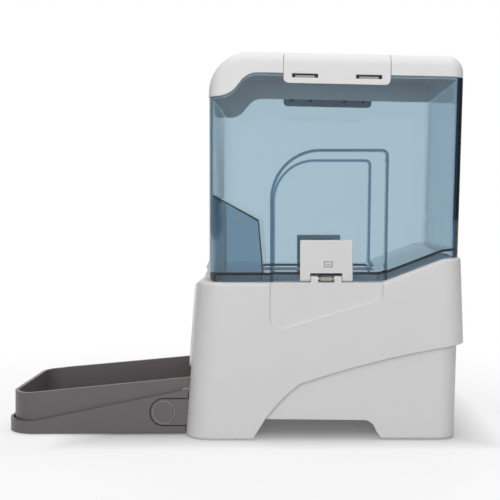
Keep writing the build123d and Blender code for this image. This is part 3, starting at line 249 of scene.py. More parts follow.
class FeederSizes(bpy.types.PropertyGroup):
    """Sizes of the small pieces"""

    coil_radius: length("Coil radius", "Radius of a latch spring at its wire's middle", 0.0026)
    coil_wire: length("Coil wire", "Wire diameter of a latch spring", 0.001)
    coil_length: length("Coil length", "Length of a latch spring along its pin", 0.0118)
    coil_turns: FloatProperty(
        name="Coil turns", description="Turns of a latch spring", min=1.0, default=10.5
    )
    coil_steps: IntProperty(name="Coil steps", description="Points on each turn", min=6, default=28)
    bead_radius: length("Bead radius", "Radius of the ring on an arm", 0.0108)
    bead_wire: length("Bead thickness", "Thickness of the ring on an arm", 0.0011)
    tongue_length: length("Tongue length", "Length of the tongue in a clip's window", 0.0182)
    tongue_height: length("Tongue height", "Height of the tongue in a clip's window", 0.0026)
    mark_width: length("Mark width", "Width of the frame marked on a latch", 0.0084)
    mark_height: length("Mark height", "Height of the frame marked on a latch", 0.0056)
    print_depth: length("Print depth", "Thickness of the marks and of the keys' signs", 0.00012)
    digit_height: length("Digit height", "Height of a figure on the display", 0.0125)


def feed(tree, socket, value):
    """Gives an input a link or a plain value."""
    if isinstance(value, bpy.types.NodeSocket):
        tree.links.new(value, socket)
    else:
        socket.default_value = value


def maths(tree, operation, *values):
    """One Math node."""
    node = tree.nodes.new("ShaderNodeMath")
    node.operation = operation
    for socket, value in zip(node.inputs, values):
        feed(tree, socket, value)
    return node.outputs[0]


def map_range(tree, value, start, end, low, high):
    """One clamped Map Range node."""
    node = tree.nodes.new("ShaderNodeMapRange")
    labels = ("Value", "From Min", "From Max", "To Min", "To Max")
    for label, given in zip(labels, (value, start, end, low, high)):
        feed(tree, node.inputs[label], given)
    return node.outputs["Result"]


def blend(tree, factor, first, second):
    """One Mix node for two colours."""
    node = tree.nodes.new("ShaderNodeMix")
    node.data_type = "RGBA"
    sockets = {socket.identifier: socket for socket in (*node.inputs, *node.outputs)}
    feed(tree, sockets["Factor_Float"], factor)
    feed(tree, sockets["A_Color"], first)
    feed(tree, sockets["B_Color"], second)
    return sockets["Result_Color"]


def mix_shaders(tree, factor, first, second):
    """One Mix Shader node."""
    node = tree.nodes.new("ShaderNodeMixShader")
    tree.links.new(factor, node.inputs["Fac"])
    tree.links.new(first, node.inputs[1])
    tree.links.new(second, node.inputs[2])
    return node.outputs["Shader"]


def material(name):
    """An empty material with its tree, shader and output."""
    made = bpy.data.materials.new(name)
    made.use_nodes = True
    tree = made.node_tree
    tree.nodes.clear()
    output = tree.nodes.new("ShaderNodeOutputMaterial")
    shader = tree.nodes.new("ShaderNodeBsdfPrincipled")
    tree.links.new(shader.outputs["BSDF"], output.inputs["Surface"])
    return made, tree, shader, output


def grain_group():
    """Shader group of moulded plastic: tone, gloss, fine grain and softened edges."""
    name = "Moulded Grain"
    if name in bpy.data.node_groups:
        return bpy.data.node_groups[name]
    tree = bpy.data.node_groups.new(name, "ShaderNodeTree")
    face = tree.interface
    face.new_socket("Vector", in_out="INPUT", socket_type="NodeSocketVector")
    face.new_socket("Colour", in_out="INPUT", socket_type="NodeSocketColor")
    for label, value in (
        ("Tone Spread", 0.03),
        ("Gloss", 0.4),
        ("Gloss Spread", 0.08),
        ("Grain Scale", 1500.0),
        ("Edge Radius", EDGE_ROUND),
    ):
        socket = face.new_socket(label, in_out="INPUT", socket_type="NodeSocketFloat")
        socket.default_value = value
    for label, kind in (
        ("Colour", "NodeSocketColor"),
        ("Roughness", "NodeSocketFloat"),
        ("Height", "NodeSocketFloat"),
        ("Edge", "NodeSocketVector"),
    ):
        face.new_socket(label, in_out="OUTPUT", socket_type=kind)
    nodes, links = tree.nodes, tree.links
    given = nodes.new("NodeGroupInput").outputs
    result = nodes.new("NodeGroupOutput").inputs
    broad = nodes.new("ShaderNodeTexNoise")
    broad.inputs["Scale"].default_value = BROAD_SCALE
    broad.inputs["Detail"].default_value = BROAD_DETAIL
    links.new(given["Vector"], broad.inputs["Vector"])
    fine = nodes.new("ShaderNodeTexNoise")
    fine.inputs["Detail"].default_value = FINE_DETAIL
    links.new(given["Vector"], fine.inputs["Vector"])
    links.new(given["Grain Scale"], fine.inputs["Scale"])
    centred = maths(tree, "SUBTRACT", broad.outputs["Fac"], 0.5)
    shade = nodes.new("ShaderNodeHueSaturation")
    tone = maths(tree, "MULTIPLY_ADD", centred, given["Tone Spread"], 1.0)
    links.new(tone, shade.inputs["Value"])
    links.new(given["Colour"], shade.inputs["Color"])
    gloss = maths(tree, "MULTIPLY_ADD", centred, given["Gloss Spread"], given["Gloss"])
    edge = nodes.new("ShaderNodeBevel")
    edge.samples = EDGE_SAMPLES
    links.new(given["Edge Radius"], edge.inputs["Radius"])
    links.new(shade.outputs["Color"], result["Colour"])
    links.new(gloss, result["Roughness"])
    links.new(fine.outputs["Fac"], result["Height"])
    links.new(edge.outputs["Normal"], result["Edge"])
    return tree


def grain_node(tree, values):
    """The grain group in a material, on object coordinates and with the material's own values."""
    place = tree.nodes.new("ShaderNodeTexCoord")
    group = tree.nodes.new("ShaderNodeGroup")
    group.node_tree = grain_group()
    tree.links.new(place.outputs["Object"], group.inputs["Vector"])
    for label, value in values.items():
        group.inputs[label].default_value = value
    return group


def relief_node(tree, group, shader, strength, depth):
    """A Bump node that turns the grain's height into the shader's normal."""
    relief = tree.nodes.new("ShaderNodeBump")
    relief.inputs["Strength"].default_value = strength
    relief.inputs["Distance"].default_value = depth
    tree.links.new(group.outputs["Height"], relief.inputs["Height"])
    tree.links.new(relief.outputs["Normal"], shader.inputs["Normal"])
    return relief


def moulded(
    name,
    tone,
    gloss=0.4,
    tone_spread=0.03,
    grain=1500.0,
    bump=0.1,
    depth=0.00005,
    metallic=0.0,
    painted_shade=0.0,
):
    """A finish on object coordinates: colour, gloss, fine grain and, if asked, painted shade
    darkening its creases.
    """
    made, tree, shader, _ = material(name)
    values = {
        "Colour": (*tone, 1.0),
        "Tone Spread": tone_spread,
        "Gloss": gloss,
        "Grain Scale": grain,
    }
    group = grain_node(tree, values)
    surface = group.outputs["Colour"]
    if painted_shade:
        # Painted shade: ambient occlusion darkens the colour in creases and seams, where shade
        # would fall.
        shade_occlusion = tree.nodes.new("ShaderNodeAmbientOcclusion")
        shade_occlusion.samples = PAINTED_SHADE_SAMPLES
        shade_occlusion.inputs["Distance"].default_value = painted_shade
        tree.links.new(surface, shade_occlusion.inputs["Color"])
        surface = shade_occlusion.outputs["Color"]
    tree.links.new(surface, shader.inputs["Base Color"])
    tree.links.new(group.outputs["Roughness"], shader.inputs["Roughness"])
    relief = relief_node(tree, group, shader, bump, depth)
    tree.links.new(group.outputs["Edge"], relief.inputs["Normal"])
    shader.inputs["Metallic"].default_value = metallic
    return made


def clear(name, tone, shadow, values):
    """Clear plastic that lets light through to what lies behind it."""
    made, tree, shader, output = material(name)
    shader.inputs["Base Color"].default_value = (*tone, 1.0)
    shader.inputs["Transmission Weight"].default_value = 1.0
    shader.inputs["IOR"].default_value = CLEAR_IOR
    group = grain_node(tree, values)
    tree.links.new(group.outputs["Roughness"], shader.inputs["Roughness"])
    through = tree.nodes.new("ShaderNodeBsdfTransparent")
    through.inputs["Color"].default_value = (*shadow, 1.0)
    path = tree.nodes.new("ShaderNodeLightPath")
    surface = mix_shaders(
        tree, path.outputs["Is Shadow Ray"], shader.outputs["BSDF"], through.outputs["BSDF"]
    )
    tree.links.new(surface, output.inputs["Surface"])
    return made, tree, shader, output, group


def clear_blue(finish):
    """Clear plastic of the hopper, with a blue tint in its depth."""
    made, tree, shader, output, group = clear(
        "clear_blue_hopper",
        (1.0, 1.0, 1.0),
        (0.9, 0.94, 0.96),
        {"Gloss": 0.03, "Gloss Spread": 0.03, "Grain Scale": 35.0},
    )
    relief_node(tree, group, shader, 0.02, 0.001)
    depth = tree.nodes.new("ShaderNodeVolumeAbsorption")
    depth.inputs["Color"].default_value = (*finish.tint, 1.0)
    depth.inputs["Density"].default_value = finish.tint_depth
    tree.links.new(depth.outputs["Volume"], output.inputs["Volume"])
    return made


def smoked_cover():
    """Smoked clear cover of the display."""
    made, *_ = clear(
        "smoked_display_cover",
        (0.62, 0.64, 0.67),
        (0.6, 0.62, 0.65),
        {"Gloss": 0.05, "Gloss Spread": 0.03},
    )
    return made


def finish_node(name, finish):
    """Gives a carried node its finish and smooth shading."""
    node = NODES[name]
    node.data.materials.clear()
    node.data.materials.append(finish)
    for face in node.data.polygons:
        face.use_smooth = True
    weld = node.modifiers.new("weld", "WELD")
    weld.merge_threshold = WELD_REACH
    split = node.modifiers.new("split", "EDGE_SPLIT")
    split.split_angle = SPLIT_ANGLE


def finish_nodes(names, finish):
    """Gives several carried nodes one finish."""
    for name in names:
        finish_node(name, finish)


def new_object(name, mesh):
    """A mesh object at the origin."""
    made = bpy.data.objects.new(name, mesh)
    bpy.context.scene.collection.objects.link(made)
    return made


def from_bmesh(name, shape, finish):
    """A mesh object from a bmesh, with its faces turned outwards."""
    bmesh.ops.recalc_face_normals(shape, faces=shape.faces)
    mesh = bpy.data.meshes.new(name)
    shape.to_mesh(mesh)
    shape.free()
    mesh.materials.append(finish)
    return new_object(name, mesh)


def add_box(shape, place, low, high):
    """A box between two corners of a local frame."""
    spans = [sorted(pair) for pair in zip(low, high)]
    corners = [(x, y, z) for x in spans[0] for y in spans[1] for z in spans[2]]
    verts = [shape.verts.new(place @ Vector(corner)) for corner in corners]
    for loop in (
        (0, 1, 3, 2),
        (4, 6, 7, 5),
        (0, 4, 5, 1),
        (2, 3, 7, 6),
        (0, 2, 6, 4),
        (1, 5, 7, 3),
    ):
        shape.faces.new([verts[i] for i in loop])


def add_prism(shape, points, near, far):
    """A prism on a closed outline in the panel's plane, between two depths."""
    low = [shape.verts.new(PANEL @ Vector((near, y, z))) for y, z in points]
    high = [shape.verts.new(PANEL @ Vector((far, y, z))) for y, z in points]
    shape.faces.new(low)
    shape.faces.new(list(reversed(high)))
    count = len(points)
    for i in range(count):
        j = (i + 1) % count
        shape.faces.new((low[i], low[j], high[j], high[i]))


def panel_box(node):
    """Box of a node in the panel's own frame."""
    back = PANEL.inverted()
    places = [back @ v.co for v in NODES[node].data.vertices]
    low = Vector(min(p[i] for p in places) for i in range(3))
    high = Vector(max(p[i] for p in places) for i in range(3))
    return low, high


def outer_face(node, sign):
    """Place across the object of a node's outer face on one side."""
    low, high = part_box(node)
    return high.y if sign > 0 else low.y


def geometry_tree(name, inputs):
    """A geometry tree with its named inputs and one Geometry output."""
    tree = bpy.data.node_groups.new(name, "GeometryNodeTree")
    for label, kind in inputs.items():
        tree.interface.new_socket(label, in_out="INPUT", socket_type="NodeSocket" + kind)
    tree.interface.new_socket("Geometry", in_out="OUTPUT", socket_type="NodeSocketGeometry")
    return tree, tree.nodes.new("NodeGroupInput").outputs


def round_wire(tree, path, thickness, sides, capped):
    """A round wire along a curve."""
    section = tree.nodes.new("GeometryNodeCurvePrimitiveCircle")
    section.inputs["Resolution"].default_value = sides
    tree.links.new(maths(tree, "MULTIPLY", thickness, 0.5), section.inputs["Radius"])
    wire = tree.nodes.new("GeometryNodeCurveToMesh")
    wire.inputs["Fill Caps"].default_value = capped
    tree.links.new(path, wire.inputs["Curve"])
    tree.links.new(section.outputs["Curve"], wire.inputs["Profile Curve"])
    return wire.outputs["Mesh"]


def moved(tree, mesh, shift, turn=(0.0, 0.0, 0.0)):
    """A mesh turned and then shifted."""
    node = tree.nodes.new("GeometryNodeTransform")
    tree.links.new(mesh, node.inputs["Geometry"])
    tree.links.new(shift, node.inputs["Translation"])
    node.inputs["Rotation"].default_value = turn
    return node.outputs["Geometry"]


def painted(tree, mesh, finish):
    """Ends a tree: smooth, real and with its finish."""
    smooth = tree.nodes.new("GeometryNodeSetShadeSmooth")
    real = tree.nodes.new("GeometryNodeRealizeInstances")
    paint = tree.nodes.new("GeometryNodeSetMaterial")
    end = tree.nodes.new("NodeGroupOutput")
    tree.links.new(mesh, smooth.inputs["Geometry"])
    tree.links.new(smooth.outputs["Geometry"], real.inputs["Geometry"])
    tree.links.new(real.outputs["Geometry"], paint.inputs["Geometry"])
    tree.links.new(finish, paint.inputs["Material"])
    tree.links.new(paint.outputs["Geometry"], end.inputs["Geometry"])


def coil_tree():
    """Geometry tree of a close coil along X, with the wire's ends capped."""
    name = "Latch Coil"
    if name in bpy.data.node_groups:
        return bpy.data.node_groups[name]
    tree, given = geometry_tree(
        name,
        {
            "Radius": "Float",
            "Wire": "Float",
            "Length": "Float",
            "Turns": "Float",
            "Steps": "Int",
            "Centre": "Vector",
            "Finish": "Material",
        },
    )
    spiral = tree.nodes.new("GeometryNodeCurveSpiral")
    for label, source in (
        ("Resolution", "Steps"),
        ("Rotations", "Turns"),
        ("Start Radius", "Radius"),
        ("End Radius", "Radius"),
        ("Height", "Length"),
    ):
        tree.links.new(given[source], spiral.inputs[label])
    wire = round_wire(tree, spiral.outputs["Curve"], given["Wire"], COIL_SIDES, True)
    drop = tree.nodes.new("ShaderNodeCombineXYZ")
    tree.links.new(maths(tree, "MULTIPLY", given["Length"], -0.5), drop.inputs["Z"])
    centred = moved(tree, wire, drop.outputs["Vector"])
    laid = moved(tree, centred, given["Centre"], (0.0, math.radians(90), 0.0))
    painted(tree, laid, given["Finish"])
    return tree


def ring_tree():
    """Geometry tree of a round bead laid in a ring about a Y axis."""
    name = "Ring Bead"
    if name in bpy.data.node_groups:
        return bpy.data.node_groups[name]
    tree, given = geometry_tree(
        name, {"Radius": "Float", "Thickness": "Float", "Centre": "Vector", "Finish": "Material"}
    )
    path = tree.nodes.new("GeometryNodeCurvePrimitiveCircle")
    path.inputs["Resolution"].default_value = RING_STEPS
    tree.links.new(given["Radius"], path.inputs["Radius"])
    bead = round_wire(tree, path.outputs["Curve"], given["Thickness"], RING_SIDES, False)
    laid = moved(tree, bead, given["Centre"], (math.radians(90), 0.0, 0.0))
    painted(tree, laid, given["Finish"])
    return tree


def plain_mesh(name, tree, values):
    """Runs a geometry tree on an empty mesh and keeps the result as a plain mesh."""
    made = new_object(name, bpy.data.meshes.new(name))
    modifier = made.modifiers.new("shape", "NODES")
    modifier.node_group = tree
    for item in tree.interface.items_tree:
        if item.item_type == "SOCKET" and item.in_out == "INPUT" and item.name in values:
            modifier[item.identifier] = values[item.name]
    bpy.context.view_layer.update()
    graph = bpy.context.evaluated_depsgraph_get()
    mesh = bpy.data.meshes.new_from_object(made.evaluated_get(graph))
    if not mesh.polygons:
        raise RuntimeError(name + " has no faces")
    made.modifiers.remove(modifier)
    made.data = mesh
    mesh.name = name
    return made


class FEEDER_OT_shells(bpy.types.Operator):
    """White mouldings of the lid, its clips and the base"""

    bl_idname = "feeder.shells"
    bl_label = "White shells"

    def execute(self, context):
        finish = context.scene.feeder_finish
        sizes = context.scene.feeder_sizes
        lid_white = moulded("lid_white_satin", finish.lid_white, gloss=0.32, tone_spread=0.015)
        finish_nodes(LID_WHITE_NODES, lid_white)
        base = {"tone": finish.base_white, "gloss": 0.36, "tone_spread": 0.02}
        finish_nodes(BASE_WHITE_NODES, moulded("base_white_satin", **base))
        # The lower shell gets painted shade along the parting line under the upper shell.
        lower_white = moulded("lower_white_painted_shade_satin", **base, painted_shade=PAINTED_SHADE_REACH)
        finish_node("base_lower_shell", lower_white)
        self.tongues(finish, sizes)
        self.marks(finish, sizes)
        return {"FINISHED"}

    def tongues(self, finish, sizes):
        """Tongues in the windows of the clips, grey as painted shade on white plastic, each before
        a dark sheet of painted shadow.
        """
        # Painted shade: the tongue's grey stands for white plastic in shadow.
        grey = moulded("tongue_painted_shade", finish.tongue_painted_shade, 0.5, 0.06)
        # Painted shadow: a near-black sheet behind each window, where there is only shade.
        dark = moulded("window_painted_shadow", (0.02, 0.02, 0.022), 0.6, 0.05)
        half = sizes.tongue_length / 2
        tongue = (half, TONGUE_TOP - sizes.tongue_height, TONGUE_TOP, TONGUE_DEPTHS)
        low, high = WINDOW_DROP - WINDOW_HALF_HEIGHT, WINDOW_DROP + WINDOW_HALF_HEIGHT
        back = (WINDOW_HALF_LENGTH, low, high, SHADOW_SHEET_DEPTHS)
        for side, sign in SIDES.items():
            node = "lid_clip_" + side
            plates = self.plates("clip_tongues_" + side, node, sign, tongue, grey)
            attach(plates, node)
            backs = self.plates("clip_window_backs_" + side, node, sign, back, dark)
            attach(backs, node)

    def plates(self, name, node, sign, box, finish):
        """One flat plate for each window of a clip."""
        half, low, high, depths = box
        face = outer_face(node, sign)
        near, far = (face - sign * depth for depth in depths)
        shape = bmesh.new()
        for place in CLIP_WINDOWS:
            add_box(shape, CLIP_FRAME, (place - half, near, low), (place + half, far, high))
        return from_bmesh(name, shape, finish)

    def marks(self, finish, sizes):
        """A plain frame marked on the face of each latch."""
        grey = moulded("mark_grey", finish.mark_grey, 0.55, 0.05)
        wide, tall, line = sizes.mark_width / 2, sizes.mark_height / 2, MARK_LINE
        dash = wide * MARK_DASH
        place = Matrix.Translation((MARK_X, 0.0, MARK_Z))
        for side, sign in SIDES.items():
            face = outer_face("latch_plate_" + side, sign)
            near, far = face - sign * MARK_SINK, face + sign * sizes.print_depth
            shape = bmesh.new()
            for x0, x1, z0, z1 in (
                (-wide, wide, tall - line, tall),
                (-wide, wide, -tall, -tall + line),
                (-wide, -wide + line, -tall + line, tall - line),
                (wide - line, wide, -tall + line, tall - line),
                (-dash, dash, -line / 2, line / 2),
            ):
                add_box(shape, place, (x0, near, z0), (x1, far, z1))
            mark = from_bmesh("latch_mark_" + side, shape, grey)
            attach(mark, "latch_" + side)


class FEEDER_OT_hopper(bpy.types.Operator):
    """Clear blue hopper and the baffle in it"""

    bl_idname = "feeder.hopper"
    bl_label = "Clear hopper"

    def execute(self, context):
        finish_nodes(CLEAR_NODES, clear_blue(context.scene.feeder_finish))
        return {"FINISHED"}


class FEEDER_OT_bowl(bpy.types.Operator):
    """Grey tray, its arms and the bowl"""

    bl_idname = "feeder.bowl"
    bl_label = "Grey bowl"

    def execute(self, context):
        finish = context.scene.feeder_finish
        grey = moulded("bowl_grey_satin", finish.bowl_grey, gloss=0.38, tone_spread=0.05)
        finish_nodes(GREY_NODES, grey)
        self.rings(finish, context.scene.feeder_sizes)
        return {"FINISHED"}

    def rings(self, finish, sizes):
        """A lighter bead in the round groove of each arm."""
        light = moulded("ring_grey_satin", finish.ring_grey, 0.35, 0.04)
        sunk = sizes.bead_wire * RING_SINK
        for side, sign in SIDES.items():
            bead = plain_mesh(
                "arm_ring_" + side,
                ring_tree(),
                {
                    "Radius": sizes.bead_radius,
                    "Thickness": sizes.bead_wire,
                    "Centre": (RING_X, outer_face("tray_arms", sign) - sign * sunk, RING_Z),
                    "Finish": light,
                },
            )
            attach(bead, "base")


class FEEDER_OT_works(bpy.types.Operator):
    """Mechanism, battery bay, board and feet"""

    bl_idname = "feeder.works"
    bl_label = "Works and feet"

    def execute(self, context):
        steel = moulded("drawn_steel", (0.55, 0.54, 0.52), 0.28, **DRAWN_METAL)
        can = moulded("motor_can", (0.45, 0.45, 0.46), 0.3, **DRAWN_METAL)
        bronze = moulded(
            "sintered_bronze", (0.6, 0.42, 0.2), 0.38, 0.1, grain=1600.0, bump=0.3, metallic=1.0
        )
        nylon = moulded("natural_nylon", (0.78, 0.75, 0.66), 0.42)
        rubber = moulded("black_rubber", (0.03, 0.03, 0.032), 0.62, 0.1, grain=1200.0, bump=0.3)
        dark = moulded("dark_moulding", (0.035, 0.035, 0.04), 0.4, 0.08)
        green = moulded("lacquered_board", (0.02, 0.16, 0.07), 0.3, 0.12, grain=400.0)
        wrap = moulded("cell_wrap", (0.09, 0.1, 0.12), 0.3, 0.1)
        finish_nodes(STEEL_NODES, steel)
        finish_nodes(NYLON_NODES, nylon)
        finish_nodes(RUBBER_NODES, rubber)
        finish_nodes(DARK_NODES, dark)
        finish_node("rotor_bushes", bronze)
        finish_node("control_board", green)
        finish_node("battery_cells", wrap)
        finish_node("gear_motor", can)
        return {"FINISHED"}


class FEEDER_OT_springs(bpy.types.Operator):
    """Close-wound coils on the latch pins"""

    bl_idname = "feeder.springs"
    bl_label = "Latch springs"

    def execute(self, context):
        sizes = context.scene.feeder_sizes
        wire = moulded(
            "spring_wire", (0.5, 0.45, 0.39), 0.25, 0.08, 900.0, depth=0.00003, metallic=1.0
        )
        for side in SIDES:
            node = "latch_spring_" + side
            low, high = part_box(node)
            coil = plain_mesh(
                "latch_coil_" + side,
                coil_tree(),
                {
                    "Radius": sizes.coil_radius,
                    "Wire": sizes.coil_wire,
                    "Length": sizes.coil_length - sizes.coil_wire,
                    "Turns": sizes.coil_turns,
                    "Steps": sizes.coil_steps,
                    "Centre": (low + high) / 2,
                    "Finish": wire,
                },
            )
            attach(coil, "base")
            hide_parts(node)
        return {"FINISHED"}


def figure_bars(high, wide):
    """Ends of each bar of a seven-bar figure, from its lower corner."""
    mid = high / 2
    return {
        "a": ((0, high), (wide, high)),
        "b": ((wide, mid), (wide, high)),
        "c": ((wide, 0), (wide, mid)),
        "d": ((0, 0), (wide, 0)),
        "e": ((0, 0), (0, mid)),
        "f": ((0, mid), (0, high)),
        "g": ((0, mid), (wide, mid)),
    }


def bar_outline(start, end, thick):
    """A bar with pointed ends between two places."""
    run = (Vector(end) - Vector(start)).normalized()
    side = Vector((-run.y, run.x)) * thick / 2
    inner = run * thick * BAR_POINT
    gap = run * thick * BAR_GAP
    a, b = Vector(start) + gap, Vector(end) - gap
    return [a, a + inner + side, b - inner + side, b, b - inner - side, a + inner - side]


def ring_outlines(inner, outer):
    """Short stretches of a flat ring, side by side."""
    turns = [2 * math.pi * i / SIGN_STEPS for i in range(SIGN_STEPS + 1)]
    outlines = []
    for a, b in zip(turns, turns[1:]):
        corners = ((inner, a), (outer, a), (outer, b), (inner, b))
        outlines.append([(r * math.cos(turn), r * math.sin(turn)) for r, turn in corners])
    return outlines


def sign_outlines(name):
    """Outlines of a key's sign: minus, plus, pointer or ring."""
    arm, line = SIGN_ARM, SIGN_LINE
    if name == "minus_button":
        return [[(-arm, -line), (arm, -line), (arm, line), (-arm, line)]]
    if name == "plus_button":
        half = [(arm, -line), (arm, line), (line, line), (line, arm), (-line, arm), (-line, line)]
        return [half + [(-a, -b) for a, b in half]]
    if name == "feed_button":
        return [[(-arm, arm * POINTER_TOP), (arm, arm * POINTER_TOP), (0, -arm)]]
    return ring_outlines(arm - 2 * line, arm)


class FEEDER_OT_panel(bpy.types.Operator):
    """Front panel, its display and the keys with their signs"""

    bl_idname = "feeder.panel"
    bl_label = "Front panel"

    def execute(self, context):
        finish = context.scene.feeder_finish
        sizes = context.scene.feeder_sizes
        fascia_white = moulded("fascia_white_satin", finish.fascia_white, 0.3, 0.015)
        finish_node("front_fascia", fascia_white)
        finish_nodes(KEY_NODES, moulded("key_grey_satin", finish.key_grey, 0.42))
        finish_node("display_module", moulded("display_reflector", (0.38, 0.42, 0.34), 0.5))
        finish_node("display_window", smoked_cover())
        self.figures(sizes)
        self.signs(sizes)
        return {"FINISHED"}

    def figures(self, sizes):
        """A clock reading of four figures on the display's face."""
        ink = moulded("display_ink", (0.02, 0.022, 0.025), 0.5, 0.1)
        face = panel_box("display_module")[0].x
        near, far = face - FIGURE_HALF_DEPTH, face + FIGURE_HALF_DEPTH
        window_low, window_high = panel_box("display_window")
        tall = sizes.digit_height
        wide = tall * FIGURE_WIDTH
        step = wide * FIGURE_STEP
        thick = tall * FIGURE_THICKNESS
        foot = (window_low.z + window_high.z) / 2 - tall / 2
        bars = figure_bars(tall, wide)
        shape = bmesh.new()
        for figure, place in zip(READING, FIGURE_PLACES):
            left = place * step - wide / 2
            for key in BARS[figure]:
                points = [(-(left + p.x), foot + p.y) for p in bar_outline(*bars[key], thick)]
                add_prism(shape, points, near, far)
        r = thick * COLON_HALF
        for share in COLON_HEIGHTS:
            z = foot + tall * share
            add_prism(shape, [(-r, z - r), (r, z - r), (r, z + r), (-r, z + r)], near, far)
        figures = from_bmesh("display_figures", shape, ink)
        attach(figures, "base")

    def signs(self, sizes):
        """A plain sign on each key: ring, plus, minus and a pointer."""
        white = moulded("sign_white", (0.85, 0.85, 0.85), 0.5, 0.02)
        for name in KEY_NODES:
            low, high = panel_box(name)
            y, z = (low.y + high.y) / 2, (low.z + high.z) / 2
            near, far = low.x - sizes.print_depth, low.x + SIGN_SINK
            shape = bmesh.new()
            for points in sign_outlines(name):
                add_prism(shape, [(y + a, z + b) for a, b in points], near, far)
            bmesh.ops.remove_doubles(shape, verts=shape.verts, dist=MERGE_REACH)
            sign = from_bmesh(name + "_sign", shape, white)
            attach(sign, name)


def backdrop_rays(tree):
    """One for rays that show the backdrop: camera, mirror and through clear walls."""
    path = tree.nodes.new("ShaderNodeLightPath")
    open_rays = maths(
        tree, "MAXIMUM", path.outputs["Is Camera Ray"], path.outputs["Is Glossy Ray"]
    )
    return maths(tree, "MAXIMUM", open_rays, path.outputs["Is Transmission Ray"])


def backdrop_light(tree, along):
    """White straight ahead, and a dim blue for light that one clear wall has thrown aside."""
    path = tree.nodes.new("ShaderNodeLightPath")
    thrown = maths(tree, "GREATER_THAN", path.outputs["Glossy Depth"], THROWN_BOUNCES)
    thrown = maths(tree, "MULTIPLY", thrown, path.outputs["Is Transmission Ray"])
    single = maths(tree, "LESS_THAN", path.outputs["Transmission Depth"], THROWN_PASSES)
    thrown = maths(tree, "MULTIPLY", thrown, single)
    rearward = map_range(tree, along, -THROWN_TURN, THROWN_TURN, 0.0, 1.0)
    side = blend(tree, rearward, THROWN_FRONT, THROWN_REAR)
    return blend(tree, thrown, WHITE, side)


